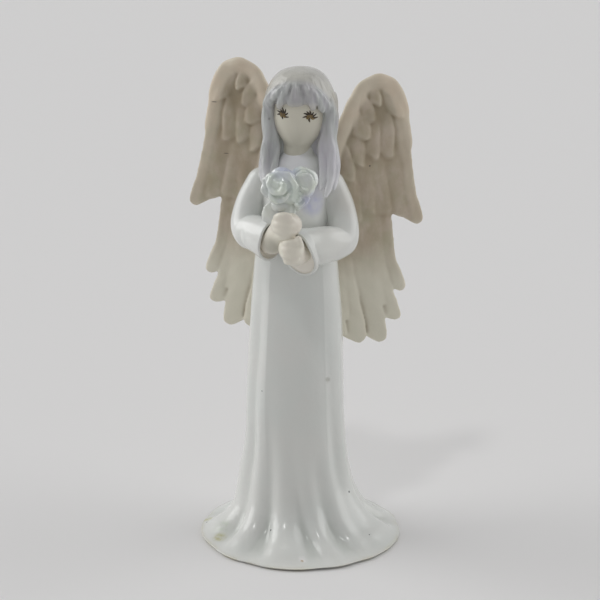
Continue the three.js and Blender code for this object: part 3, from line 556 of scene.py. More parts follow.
# Folds: degrees round from the front at the hem, at the knee and on the column, how deep each is
# there in mm, and the height where it dies out
FOLDS = [
    (-56, -57, -49, 1.3, 1.5, 0.9, 100), (-25, -27, -33, 1.9, 0.9, 0.2, 62), (16, 1, -3, 1.7, 0.6, 0.1, 48),
    (40, 28, 26, 1.9, 0.8, 0.1, 34), (57, 54, 46, 0.5, 1.2, 0.6, 84), (101, 94, 92, 1.5, 1.4, 0.8, 74),
    (129, 122, 118, 1.5, 1.6, 1.0, 70), (155, 150, 146, 1.4, 1.4, 0.8, 72),
    (180, 176, 172, 1.5, 1.6, 1.1, 84), (-155, -156, -158, 1.4, 1.4, 0.9, 70),
    (-130, -129, -131, 1.5, 1.5, 1.0, 80), (-102, -98, -96, 1.5, 1.4, 0.8, 72),
]
# Shares of a fold's depth at the hem, by height
HEM_DEPTHS = [(0, 0.3), (0.4, 0.9), (1.2, 1.55), (3, 1.5), (6, 1.15), (10, 0.8)]
fold_width = smooth_between([(0, 7.5), (25, 10), (60, 12)])  # in degrees
PANEL_MIDDLE, PANEL_HALF, PANEL_FLAT = 5.5, 38.0, 1.2  # the flatter front, in degrees and mm
# The skirt swings out at the figure's right: how far, and the middle and half of it round and up
SWING, SWING_TURN, SWING_HALF, SWING_HEIGHT, SWING_TALL = 2.2, -88, 42, 16, 11


def flare_at(z, power):
    return (FLARE / (FLARE + z)) ** power


def robe_halves(z):
    flare = flare_at(z, 3)
    width, depth = column_width(z), column_depth(z)
    return (width + (HEM_WIDTH - BASE_WIDTH) * flare) / 2, (depth + (HEM_DEPTH - BASE_DEPTH) * flare) / 2


def gathers_at(degrees, z):
    """How deep the folds are there, in mm."""
    width = fold_width(z)
    total = 0
    for turn, knee, column, hem, low, high, top in FOLDS:
        middle = smooth_between([(0, turn), (8, mix(turn, knee, 0.62)), (25, knee), (60, column)])(z)
        hem_depths = [(level, hem * share) for level, share in HEM_DEPTHS]
        depth = smooth_between([*hem_depths, (25, low), (50, high), (COLLAR, high)])(z)
        away = round180(degrees - middle) / width
        total = total + depth * (1 - smoothstep(z, top * 0.6, top)) * np.exp(-np.abs(away) ** 1.9)
    return total


def folds_at(degrees, z):
    """How far the robe's surface lies inside its plain shape."""
    edge = math.cos(math.radians(PANEL_HALF))
    flat = np.clip((np.cos(np.radians(degrees - PANEL_MIDDLE)) - edge) / (1 - edge), 0, 1) ** 0.85
    swing = SWING * bell(round180(degrees - SWING_TURN), 0, SWING_HALF) * bell(z, SWING_HEIGHT, SWING_TALL)
    panel = PANEL_FLAT * flat * smoothstep(z, 14, 36) * (1 - smoothstep(z, 88, 106))
    return gathers_at(degrees, z) - swing + panel


def robe_ring(z, inset, degrees, folds=True, lip=0.0):
    """One level of the robe. lip raises the hem's widest level to that height."""
    level = z - lip * math.exp(-max(0.0, z - lip) / 2.4)
    half_width, half_depth = robe_halves(level)
    angle = np.radians(degrees)
    inward, rise = inset, 0
    if folds:
        inward = inset + folds_at(degrees, level)
        swell = 1 - np.clip(gathers_at(degrees, max(level, 1.2)) / 2.0, 0, 1)
        rise = HEM_SWELL * swell * smoothstep(level, 0.1, 2.4) * (1 - smoothstep(level, 5, 18))
    return np.stack([
        sway_at(level) + (half_width - inward) * np.sin(angle),
        -HEM_FORWARD * flare_at(level, 3) - (half_depth - inward) * np.cos(angle),
        z + rise + 0 * angle,
    ], -1)


def robe():
    count = 300
    degrees = all_round(count)
    levels = (LIP + (COLLAR - LIP) * np.linspace(0, 1, 220) ** 1.5)[::-1]
    rings = [robe_ring(z, 0.0, degrees, lip=LIP) for z in levels]
    # the glaze that runs up the neck: inset and rise
    top = [
        robe_ring(COLLAR, inset, degrees) + [0, 0, rise]
        for inset, rise in ((1.5, 2.5), (1.1, 2.4), (0.94, 1.7), (0.76, 1.1), (0.5, 0.6), (0.24, 0.24))
    ]
    # the hem stands a little off the table at the front
    lift = 0.2 + 0.4 * bell(round180(degrees - 22), 0, 40)
    lip = []
    for share in np.linspace(0.1, 1, 6):
        ring = robe_ring(0.0, 0.5 * (1 - math.cos(share * math.pi / 2)), degrees)
        ring[:, 2] = mix(LIP, lift, math.sin(share * math.pi / 2))
        lip.append(ring)
    under, foot = robe_ring(0.0, 1.8, degrees), robe_ring(0.0, WALL, degrees)
    under[:, 2], foot[:, 2] = lift, 0
    inner = []
    for z in np.linspace(0, 1, 40) ** 1.5 * HOLLOW_TOP:
        down = flare_at(z, 2)
        wall = WALL * (mix(1, 0.5, down) + smoothstep(z, HOLLOW_TOP - 10, HOLLOW_TOP))
        ring = robe_ring(z + WALL * down, wall + FOLD_ROOM, degrees, False)
        ring[:, 2] = z
        inner.append(ring)
    surface = skin(np.stack(top + rings + lip + [under, foot] + inner))
    points, quads, _ = surface
    n = (len(top) + len(rings)) * count
    body = points[:n]
    uneven = waves(body, 24, 1)[:, None] * 0.12 + waves(body, 9, 2)[:, None] * 0.04
    points[:n] = body + normals(points, quads)[:n] * uneven
    return surface


def folds_mask(points):
    x, y, z = points.T
    half_width, half_depth = robe_halves(z)
    forward = HEM_FORWARD * flare_at(z, 3)
    turn = np.degrees(np.arctan2((x - sway_at(z)) / half_width, -(y + forward) / half_depth))
    return gathers_at(turn, z)


# Head

CHIN, HEAD_HEIGHT, HEAD_HALF_WIDTH, HEAD_HALF_DEPTH, HEAD_FORWARD = 121.8, 21.0, 8.0, 8.8, 0.6
HEAD_SHARES = (0, 0.06, 0.16, 0.3, 0.46, 0.62, 0.78, 0.9, 0.98)  # of the height, from the chin
head_width = smooth_between([
    (0, 0.42), (0.08, 0.62), (0.2, 0.85), (0.3, 0.97), (0.4, 1.03), (0.62, 1.03), (0.78, 0.93), (0.9, 0.7),
    (0.98, 0.3),
])
head_front = smooth_between(zip(HEAD_SHARES, (0.56, 0.76, 0.87, 0.95, 1, 0.99, 0.88, 0.64, 0.28)))
head_back = smooth_between(zip(HEAD_SHARES, (0.1, 0.35, 0.6, 0.82, 0.95, 1, 0.95, 0.74, 0.34)))
NECK = [(-0.9, -0.1, 116), (-0.7, -0.6, 120.5), (0, -1.6, 127)]
NOSE, NOSE_HALVES = (0, -8.7, CHIN + 7.2), (0.8, 0.7, 1.6)


def skull():
    share = np.linspace(0.0, 0.98, 90)[:, None]
    c, s = circle(120)
    reach = np.where(c > 0, head_front(share), head_back(share))
    return skin(np.stack([
        HEAD_HALF_WIDTH * head_width(share) * s,
        -HEAD_FORWARD - HEAD_HALF_DEPTH * reach * c,
        CHIN + HEAD_HEIGHT * share + 0 * c,
    ], -1))


def head():
    neck = rod(NECK, lambda t: (4.3 + 0.3 * t, 4.5 + 1.0 * t), (1, 0, 0), 40, 48)
    return melted([skull(), neck, ball(NOSE, NOSE_HALVES)], 0.22, 36)


# The painted eyes are strokes: x, z of the start and the end on the face, and half the width
EYE_STROKES = {
    "dark": [
        (-4.3, 132.2, -5.9, 133.1, 0.22), (-4.3, 132.3, -5.2, 133.9, 0.2), (-4.2, 132.3, -4.2, 134.2, 0.22),
        (-4.1, 132.3, -3.2, 133.9, 0.2), (-4.1, 132.2, -2.5, 132.9, 0.2), (-4.2, 132.1, -2.3, 131.7, 0.2),
        (-4.2, 132.2, -4.1, 130.9, 0.22), (-4.3, 132.1, -5.9, 132.0, 0.2),
        (3.6, 131.9, 2.0, 132.9, 0.2), (3.6, 132.0, 2.8, 133.4, 0.2), (3.7, 132.0, 3.7, 133.6, 0.22),
        (3.8, 131.9, 4.7, 133.1, 0.2), (3.8, 131.8, 5.5, 132.5, 0.2), (3.8, 131.7, 5.9, 131.5, 0.22),
        (3.7, 131.8, 3.7, 130.2, 0.22), (3.6, 131.8, 1.7, 131.6, 0.2),
    ],
    "gold": [
        (-4.9, 132.5, -3.4, 132.4, 0.42), (-4.0, 131.9, -3.1, 131.6, 0.3), (-4.9, 132.0, -4.2, 131.7, 0.28),
        (2.9, 132.1, 4.6, 132.0, 0.42), (4.0, 131.5, 5.1, 131.1, 0.3), (2.7, 131.6, 3.5, 131.3, 0.28),
    ],
}
STROKE_BOW = 0.12


def eye_paint(tree, strokes, proud, widen):
    """Strokes of one colour laid on the face, proud of it and widened by a share."""
    t = np.linspace(0, 1, 9)
    made = []
    for x0, z0, x1, z1, half in strokes:
        bow = STROKE_BOW * np.sin(t * math.pi)
        xs, zs = mix(x0, x1, t) + bow * (z1 - z0), mix(z0, z1, t) - bow * (x1 - x0)
        side = unit(np.array([-(z1 - z0), x1 - x0]))
        rings = []
        for x, z, share in zip(xs, zs, t):
            width = widen * half * (0.35 + 0.65 * math.sin(math.pi * min(1, share * 0.85 + 0.15)))
            ring = []
            for k in range(8):
                a = 2 * math.pi * k / 8
                out = width * math.cos(a)
                start = Vector((x + side[0] * out, -60, z + side[1] * out))
                hit, normal, _, _ = tree.ray_cast(start, Vector((0, 1, 0)))
                ring.append(np.array(hit) + np.array(normal) * (proud + 0.05 * math.sin(a)))
            rings.append(ring)
        made.append(skin(np.array(rings)))
    return joined(made)


# Hair

HAIR_END, HAIR_TOP = 114.6, 145.0
HAIR_HALF_WIDTH, HAIR_END_HALF_WIDTH = 10.7, 12.0
HAIR_SHARES = (0, 0.12, 0.26, 0.42, 0.58, 0.72, 0.83, 0.92, 0.97, 1)  # of the height, from the end
hair_spread = smooth_between([(0, 1), (0.12, 0.85), (0.26, 0.4), (0.42, 0.1), (0.58, 0), (1, 0)])
hair_side = smooth_between([
    (0, 0.98), (0.12, 1), (0.58, 1), (0.72, 0.96), (0.83, 0.84), (0.92, 0.66), (0.97, 0.44), (1, 0.05),
])
hair_front = smooth_between(zip(HAIR_SHARES, (0.42, 0.5, 0.6, 0.72, 0.84, 0.9, 0.82, 0.66, 0.44, 0.05)))
hair_back = smooth_between(zip(HAIR_SHARES, (0.62, 0.72, 0.84, 0.95, 1, 0.99, 0.9, 0.74, 0.52, 0.06)))
cap_edges = smooth_between([
    (0, 141.2), (18, 140.9), (36, 139.8), (52, 137.6), (75, 132), (100, 127), (180, 126),
])
LOWER_LOCK = 1.6  # how far the left locks hang below the right ones
COMB_LINES, COMB_DEPTH = 46, 0.09

# Locks of the fringe: path, half widths at both ends, half thickness
FRINGE = [
    ([(-0.2, -8.4, 142.0), (-0.3, -9.7, 139.2), (-0.45, -9.8, 136.8), (-0.5, -8.7, 134.4)], (0.55, 2.9), 0.7),
    ([(-1.9, -8.3, 141.8), (-2.9, -9.5, 139.8), (-3.9, -9.5, 138.0), (-4.9, -8.9, 135.4),
      (-5.3, -7.9, 133.6)], (0.75, 1.15), 0.75),
    ([(-3.0, -8.2, 141.4), (-4.2, -9.0, 140.0), (-6.2, -8.6, 137.9), (-7.9, -6.9, 135.7),
      (-8.5, -5.4, 133.0)], (0.8, 1.3), 0.85),
    ([(-4.6, -7.6, 140.8), (-7.0, -7.6, 138.6), (-8.9, -5.8, 135.8), (-9.5, -4.4, 132.6)], (0.9, 1.35), 1.0),
    ([(1.9, -8.3, 141.6), (2.9, -9.4, 139.8), (3.7, -9.6, 138.2), (4.4, -9.0, 135.3), (4.8, -8.1, 133.4)],
     (0.75, 1.2), 0.75),
    ([(3.2, -8.2, 140.8), (4.6, -8.9, 138.9), (5.9, -8.6, 137.0), (6.9, -7.5, 134.6), (7.5, -6.3, 132.6)],
     (0.8, 1.3), 0.85),
    ([(4.6, -7.6, 140.2), (6.9, -7.5, 137.6), (8.4, -6.2, 135.0), (9.2, -4.7, 131.8)], (0.9, 1.35), 1.0),
]
# Locks at the right side of the head: path, half width, half thickness. The left side mirrors them.
LOCKS = [
    ([(-9.0, -4.6, 137), (-9.3, -4.9, 133), (-8.9, -5.0, 128.4), (-8.8, -5.0, 125), (-9.5, -5.4, 121.6),
      (-9.4, -6.6, 117), (-8.9, -8.2, 113), (-7.9, -9.4, 109.6)], 1.35, 1.45),
    ([(-8.4, -2.6, 138), (-9.5, -2.4, 132.5), (-9.5, -2.4, 128), (-9.1, -2.4, 124.4), (-9.8, -2.8, 120.3),
      (-10.4, -4.2, 115.6), (-10.2, -6.6, 111.2)], 1.6, 1.9),
    ([(-7.2, -6.4, 136.6), (-8.2, -4.8, 132), (-7.8, -4.4, 128), (-6.9, -4.1, 125), (-6.4, -4.2, 122.4),
      (-6.9, -5.6, 118.6), (-7.1, -7.4, 114.6), (-6.6, -8.9, 111.4)], 1.3, 1.4),
    ([(-7.9, -3.6, 130), (-7.9, -4.5, 126), (-8.1, -4.7, 121.5), (-8.3, -5.6, 117.5), (-8.2, -7.0, 114.0)],
     1.5, 1.2),
]


def hair_place(degrees, z, inset):
    """A place on the hair's outside, degrees round from the front."""
    share = (z - HAIR_END) / (HAIR_TOP - HAIR_END)
    a = np.radians(degrees)
    half = mix(HAIR_HALF_WIDTH, HAIR_END_HALF_WIDTH, hair_spread(share)) * hair_side(share) - inset
    reach = HAIR_REACH * np.where(np.cos(a) > 0, hair_front(share), hair_back(share)) - inset
    return np.stack([half * np.sin(a), -reach * np.cos(a), z + 0 * a], -1)


def cap_edge(degrees):
    """Where the smooth cap ends: high over the brow, lower round the sides."""
    return cap_edges(np.abs(round180(degrees)))


def hair_cap():
    degrees = all_round(180)
    edge = cap_edge(degrees)
    rings = []
    for s in np.linspace(0.0, 1, 70):
        z = mix(HAIR_TOP, edge, s**0.75)
        rings.append(hair_place(degrees, z, -0.2 * smoothstep(s, 0.75, 0.95)))
    inner = hair_place(degrees, edge, 1.5)
    core = inner * [0.3, 0.3, 1] + [0, 0, 1]
    return skin(np.stack([*rings, inner, core]))


def brow():
    """The hair under the fringe, which runs down into the forehead."""
    degrees = all_round(120)
    return skin(np.stack([
        hair_place(degrees, z, mix(0.5, 2.7, float(smoothstep(z, 137.5, 133.0))))
        for z in np.linspace(141.8, 133.0, 30)
    ]))


def hair_mass():
    """The hair behind the face and neck, down to the shoulders, thicker at the sides."""
    degrees = all_round(160)
    rings = []
    for z in np.linspace(141, HAIR_END, 60):
        ring = hair_place(degrees, z + 0 * degrees, 0.25)
        low = float(smoothstep(z, 134, 122))
        front = mix(-4.8, mix(-3.2, -5.4, smoothstep(np.abs(ring[:, 0]), 4.8, 7.6)), low)
        ring[:, 1] = np.maximum(ring[:, 1], front)
        rings.append(ring)
    return skin(np.stack(rings))


def strand(path, half_width, half_thickness):
    return rod(path, blunt(half_width, half_thickness, 0.3, 0.12), (1, 0, 0), 40, 16)


def back_strand(place):
    """A strand down the back, place from -1 to 1 across it, that comes in to run between the wings."""
    path = []
    for t in (0, 0.3, 0.65, 1):
        z = mix(137, mix(94.5, 103, abs(place)), t)
        out = place * 9.4 * mix(1, 0.42, t)
        back = robe_halves(np.minimum(z, float(SHOULDER)))[1] * (1 - 0.25 * place**2) + 1.0
        head_side = HAIR_REACH * math.sqrt(max(0.05, 1 - (out / 11.6) ** 2)) - 1.2
        path.append((out, mix(head_side, float(back), min(1.0, 1.6 * t**1.3)), z))
    return strand(path, 2.4, 2.1)


def hair():
    parts = [hair_cap(), hair_mass(), brow()]
    for path, (start, end), thick in FRINGE:
        parts.append(rod(
            path, lambda t: (mix(start, end, t) * rounded(t, 0.25, 0.4), thick * rounded(t, 0.4, 0.25)),
            (1, 0, 0), 30, 16,
        ))
    for path, wide, thick in LOCKS:
        parts.append(strand(path, wide, thick))
        left = [(-x * 1.05, y, z - LOWER_LOCK * (z < 114)) for x, y, z in path]
        parts.append(strand(left, wide, thick))
    parts += [back_strand(place) for place in np.linspace(-1, 1, 7)]
    points, quads, tris = melted(parts, 0.26, 5)
    # comb lines
    turn = np.degrees(np.arctan2(points[:, 0], -points[:, 1]))
    below = 1 - smoothstep(points[:, 2], cap_edge(turn) - 1.5, cap_edge(turn))
    comb = np.sin(np.radians(turn) * COMB_LINES + 2.2 * waves(points, 14, 8))
    comb = comb * (0.5 + 0.5 * waves(points, 9, 9))
    points += normals(points, quads) * (COMB_DEPTH * below * comb)[:, None]
    return points, quads, tris


def crown_mask(points):
    """The pale crown: its edge is sharp over the fringe and fades out round the sides and back."""
    turn = np.degrees(np.arctan2(points[:, 0], -points[:, 1]))
    fade = smoothstep(np.abs(turn), 40, 95)
    return smoothstep(points[:, 2] - cap_edge(turn), -0.8 - 8 * fade, 2.2 + 6 * fade)


# Sleeves and hands

# The elbow lies elbow_drop below the shoulder, and the cuff's middle cuff_drop below that, cuff_out
# outwards and cuff_reach in front of the chest. tall and wide are the cuff's size, and turn is the share
# of the way inwards that the forearm has come just before it. Its lower edge droops back and down. The
# fist's middle lies hand_out outwards, hand_reach in front of the cuff's and hand_rise above it. The
# thumb's path is in shares of the fist's halves.
ARMS = {
    "left": dict(
        side=1, elbow_drop=18.2, cuff_drop=0.9, cuff_out=1.6, cuff_reach=9, tall=12.8, wide=11, turn=0.85,
        hand_out=1, hand_reach=3.3, hand_rise=2.1, hand_wide=7.8, hand_tall=7.6, droop=(5.0, 1.9),
        thumb=[(0.8, -0.35, 0.2), (0.62, -0.75, 0.75), (0.5, -0.8, 1.2)],
    ),
    "right": dict(
        side=-1, elbow_drop=15.6, cuff_drop=0.8, cuff_out=5, cuff_reach=6.5, tall=12, wide=9.6, turn=0.68,
        hand_out=0.5, hand_reach=5, hand_rise=6.2, hand_wide=9.2, hand_tall=7.6, droop=(1.8, 0.5),
        thumb=[(0.75, -0.2, 0.5), (0.3, -0.75, 0.85), (-0.45, -0.75, 0.9)],
    ),
}
UPPER_ARM, ELBOW, ELBOW_OUT, ELBOW_FORWARD, CUFF_WALL = 8.8, 10.4, 14.0, 4.5, 0.9
CHEST_FRONT, SHOULDER_OUT = 9.3, 10.3
FINGERS, FINGER_SWEEP = 4, (20, 60, 100, 150)  # the places along a finger, in degrees round the fist


def arm_path(arm):
    side, turn = arm["side"], arm["turn"]
    elbow = SHOULDER - arm["elbow_drop"]
    cuff = elbow - arm["cuff_drop"]
    out, forward = arm["cuff_out"], CHEST_FRONT + arm["cuff_reach"]
    shoulder_out = SHOULDER_OUT - UPPER_ARM * 0.14

    def at(out, reach, z):
        return np.array([side * out - SWAY, -reach, z])

    return [
        at(shoulder_out - 0.4, 0, 114.6),
        at(mix(shoulder_out, ELBOW_OUT, 0.8), ELBOW_FORWARD * 0.22, (SHOULDER + elbow) / 2),
        at(ELBOW_OUT, ELBOW_FORWARD, elbow),
        at(mix(ELBOW_OUT, out, 0.38), mix(ELBOW_FORWARD, forward, 0.36), elbow - arm["cuff_drop"] * 0.8),
        at(mix(ELBOW_OUT, out, turn), mix(ELBOW_FORWARD, forward, 0.66), cuff),
        at(out, forward, cuff),
    ]


def sleeve(arm):
    """The sleeve with the hollow of its cuff, and a mask that is 1 inside the cuff."""
    count, steps = 96, 150
    t = np.linspace(0, 1, steps)
    middle, along, across, up = swept(arm_path(arm), (-arm["side"] * 0.4, -0.35, 1), t)
    tall = smooth_between([(0, UPPER_ARM * 0.9), (0.2, UPPER_ARM), (0.5, ELBOW), (1, arm["tall"])])(t) / 2
    wide = smooth_between([(0, UPPER_ARM * 0.8), (0.2, UPPER_ARM), (0.5, ELBOW), (1, arm["wide"])])(t) / 2
    close = rounded(np.clip(t, 0, 0.5), 0.08, 0.05)
    angle = np.linspace(0, 2 * math.pi, count, endpoint=False)
    back, down = arm["droop"]

    def ring(i, inset, deep=0.0):
        scale_tall, scale_wide = (tall[i] - inset) * close[i], (wide[i] - inset) * close[i]
        below = smoothstep(-np.cos(angle), -0.3, 1.0) * smoothstep(t[i], 0.6, 1.0) ** 1.5 * (1 - deep)
        return (
            middle[i] + across[i] * (scale_tall * np.cos(angle))[:, None]
            + up[i] * (scale_wide * np.sin(angle))[:, None]
            - along[-1] * (back * below)[:, None] - np.array([0, 0, 1]) * (down * below)[:, None]
        )

    rings = [ring(i, 0.0) for i in range(steps)]
    for share in np.linspace(0.15, 1, 7):
        lip = ring(steps - 1, CUFF_WALL * (1 - math.cos(share * math.pi)) / 2)
        rings.append(lip + along[-1] * CUFF_WALL * 0.4 * math.sin(share * math.pi))
    inside = len(rings) - 2
    deep = int(steps * 0.14)
    for k in range(1, deep):
        share = k / deep
        rings.append(ring(steps - 1 - k, CUFF_WALL + 3.6 * share**2, 0.7 * share))
    surface = skin(np.stack(rings))
    points, quads, _ = surface
    n = steps * count
    place, turned = np.repeat(t, count), np.tile(angle, steps)
    crease = bell(place, 0.5, 0.14) * np.sin(place * 40 + 1.3 * np.sin(turned))
    drape = 0.2 * crease * np.maximum(0, np.cos(turned - 2.4))
    points[:n] += normals(points, quads)[:n] * (drape + 0.1 * waves(points[:n], 8, 5))[:, None]
    return surface, np.arange(len(points)) >= inside * count


def fist_middle(arm):
    _, forward, height = arm_path(arm)[-1]
    out = arm["side"] * arm["hand_out"] - SWAY
    return np.array([out, forward - arm["hand_reach"], height + arm["hand_rise"]])


def hand(arm):
    """A fist of four fingers and a thumb, and the wrist that goes into the cuff."""
    side = arm["side"]
    middle = fist_middle(arm)
    half = np.array([arm["hand_wide"], arm["hand_wide"] * 0.86, arm["hand_tall"]]) / 2
    parts = [ball(middle, half * [0.98, 0.98, 1])]
    for i in range(FINGERS):
        rise = half[2] * (1.5 - i) * 0.46
        reach = 0.79 - 0.06 * (i - 1.2) ** 2
        path = [
            middle + [side * half[0] * c * reach, -half[1] * s * reach, rise - 0.9 * (1 - c) * 0.5]
            for c, s in ((math.cos(a), math.sin(a)) for a in map(math.radians, FINGER_SWEEP))
        ]
        parts.append(rod(path, blunt(1.25, 1.2, 0.2, 0.3), (0, 0, 1), 24, 20))
    thumb = [middle + half * np.array(share) * [side, 1, 1] for share in arm["thumb"]]
    parts.append(rod(thumb, blunt(1.1, 1.1, 0.3, 0.35), (0, 0, 1), 24, 20))
    before, cuff = arm_path(arm)[-2:]
    wrist = [cuff + unit(before - cuff) * 7, cuff, middle]
    parts.append(rod(wrist, lambda t: (4.0, 3.5), (0, 0, 1), 24, 24))
    return melted(parts, 0.17, 22)


# Flowers

PETAL_THICKNESS = 0.8
ROSE, ROSE_FACING, ROSE_HEART = (-3.2, -19.6, 113.6), (-0.15, -1, 0.35), 5.7
# Blossoms: middle, the way each faces, size, and rows of petals: how many, their reach as a share of
# the size, how far they wrap round, their curl and depth as shares too, and the turn of the first
BLOSSOMS = {
    "blossom_large": (ROSE, ROSE_FACING, 5.9, [(5, 1.0, 1.3, 0.3, 0.1, 0.3), (3, 0.86, 1.5, 0.1, 0.34, 0.9)]),
    "blossom_top": ((3.0, -18.0, 115.0), (0.3, -1, 0.4), 4.5, [
        (4, 1.02, 1.4, 0.22, 0.08, 0.35), (2, 0.72, 1.6, 0.1, 0.4, 0.5),
    ]),
    "blossom_side": ((1.4, -19.0, 110.2), (0.35, -1, 0.0), 3.9, [
        (3, 1.05, 1.5, 0.3, 0.12, 0.5), (2, 0.66, 1.6, 0.12, 0.4, 0.2),
    ]),
}
# Leaves: the way each points, in degrees up from the figure's left, and its length
LEAVES = {"leaf_left": (52, 9.0), "leaf_upper": (96, 8.4), "leaf_right": (220, 8.8), "leaf_lower": (143, 8.8)}
LEAF_ROOT = np.array([-1.2, -18.4, 109.5])
CALYX = np.array([-3.0, -19.2, 108.3])
# The calyx's lobes: place and halves
CALYX_LOBES = [
    ([0, 0, 0], (3.0, 2.2, 2.3)), ([-1.8, 0.2, -0.4], (1.7, 1.6, 1.9)), ([1.9, 0.0, -0.3], (1.6, 1.6, 1.9)),
]
STEM_PLACES = ((-0.8, 0.1), (0.75, 0.2), (0, -0.75), (0.1, 0.9))


def flower_ways(facing):
    """The ways out of a flower's face, up it and to its side."""
    facing = unit(facing)
    up = unit(np.array([0, 0, 1.0]) - facing * facing[2])
    return facing, up, np.cross(facing, up)


def petal(middle, facing, size, wide, curl, depth, turned):
    """A thin sheet that rises from the flower's middle and curls over at its rim."""
    facing, up, side = flower_ways(facing)
    radial = up * math.cos(turned) + side * math.sin(turned)
    across = np.cross(facing, radial)
    uu, vv = np.meshgrid(np.linspace(-1, 1, 25), np.linspace(0, 1, 22))
    spread = np.sin(vv * math.pi * 0.62) ** 0.7
    bend = uu * wide * spread
    out = size * (vv ** 0.9) * (1 - 0.22 * uu**2 * vv)
    rise = depth * np.sin(np.minimum(vv * 1.25, 1) * math.pi / 2) * (1 + 0.25 * uu**2)
    rise = rise - curl * smoothstep(vv, 0.62, 1.0) ** 1.5
    top = (
        middle
        + radial * (out - 0.35 * size * spread * (1 - np.cos(bend)))[..., None]
        + across * (size * 0.62 * np.sin(bend))[..., None]
        + facing * rise[..., None]
    )
    thin = np.sqrt(np.maximum(0.02, 1 - np.abs(uu) ** 6))
    drop = facing * (PETAL_THICKNESS * thin * np.sqrt(np.maximum(0.04, 1 - vv**8)))[..., None]
    return skin(np.concatenate([top, (top - drop)[:, ::-1]], axis=1))


def swirl(middle, facing, size, turns, start):
    """The rolled inner petals of a rose: a dome with a ridge that winds out from its middle."""
    facing, up, side = flower_ways(facing)
    t = np.linspace(0, 1, 26)
    reach = size * mix(0.1, 0.74, t ** 0.8)
    angle = start + turns * 2 * math.pi * t
    rise = size * (0.56 - 0.45 * (reach / size) ** 2)
    path = (
        middle + up * (reach * np.sin(angle))[:, None] + side * (1.1 * reach * np.cos(angle))[:, None]
        + facing * rise[:, None]
    )
    ridge = rod(path, blunt(size * 0.12, size * 0.17, 0.15, 0.4), facing, 120, 14)
    return [ball(middle + facing * size * 0.02, (size * 0.72, size * 0.5, size * 0.72)), ridge]


def blossom(middle, facing, size, rows):
    parts = [ball(middle + unit(facing) * size * 0.1, (size * 0.3,) * 3)]
    for count, reach, wide, curl, depth, start in rows:
        for k in range(count):
            turned = start + 2 * math.pi * k / count
            parts.append(petal(middle, facing, size * reach, wide, size * curl, size * depth, turned))
    return parts


def leaf(degrees, length):
    a = math.radians(degrees)
    away = np.array([math.cos(a), 0, math.sin(a)])
    root = LEAF_ROOT + away * 0.8
    path = [
        root + away * length * share + [0, -bow, 0]
        for share, bow in ((0, 0), (0.4, 0.9), (0.75, 1.2), (1, 0.2))
    ]
    return rod(
        path, lambda t: (3.0 * np.sin(np.clip(t, 0.02, 1) ** 0.8 * math.pi) ** 0.7 + 0.35, 0.65),
        np.cross(away, (0, 1, 0)), 30, 20,
    )


def flowers():
    """Each blossom and leaf of the bunch as its own parts, under its node's name."""
    made = {name: blossom(*sizes) for name, sizes in BLOSSOMS.items()}
    made["blossom_large"] = swirl(ROSE, ROSE_FACING, ROSE_HEART, 1.25, 2.2) + made["blossom_large"]
    return made | {name: [leaf(*sizes)] for name, sizes in LEAVES.items()}


def stems():
    upper, lower = fist_middle(ARMS["right"]), fist_middle(ARMS["left"])
    foot = np.array([-0.7, lower[1], lower[2] - 2.5])
    knot = np.array([-SWAY, upper[1], upper[2]])
    top = knot + [0, 2.4, 6.7]
    return [ball(CALYX + place, halves) for place, halves in CALYX_LOBES] + [
        rod([foot + [dx, dy, 0], knot + [dx, dy, 0], top + [dx * 1.9, dy * 1.4, 0]],
            lambda t: (0.85 + 0.3 * t, 0.85 + 0.3 * t), (1, 0, 0), 40, 16)
        for dx, dy in STEM_PLACES
    ]


# Wings, in a plane of their own (out, up, front) until they are seated on the back

SPAN, WING_HEIGHT, ROOT_HEIGHT, WING_CURL = 33.0, 85.6, 97.8, 2.0
ROOT_THICKNESS = 6.5
ROOT_OUT = 0.35  # how far the wing's plane stands off the back, as a share of the root's thickness
WING_BACK = float(robe_halves(np.array(ROOT_HEIGHT))[1]) + ROOT_THICKNESS * ROOT_OUT
SEATS = {
    "left": dict(side=1, out=4, sweep=22, tip=0, lift=0, spread=1.0),
    "right": dict(side=-1, out=2.6, sweep=16, tip=1.2, lift=4.2, spread=2.1),
}

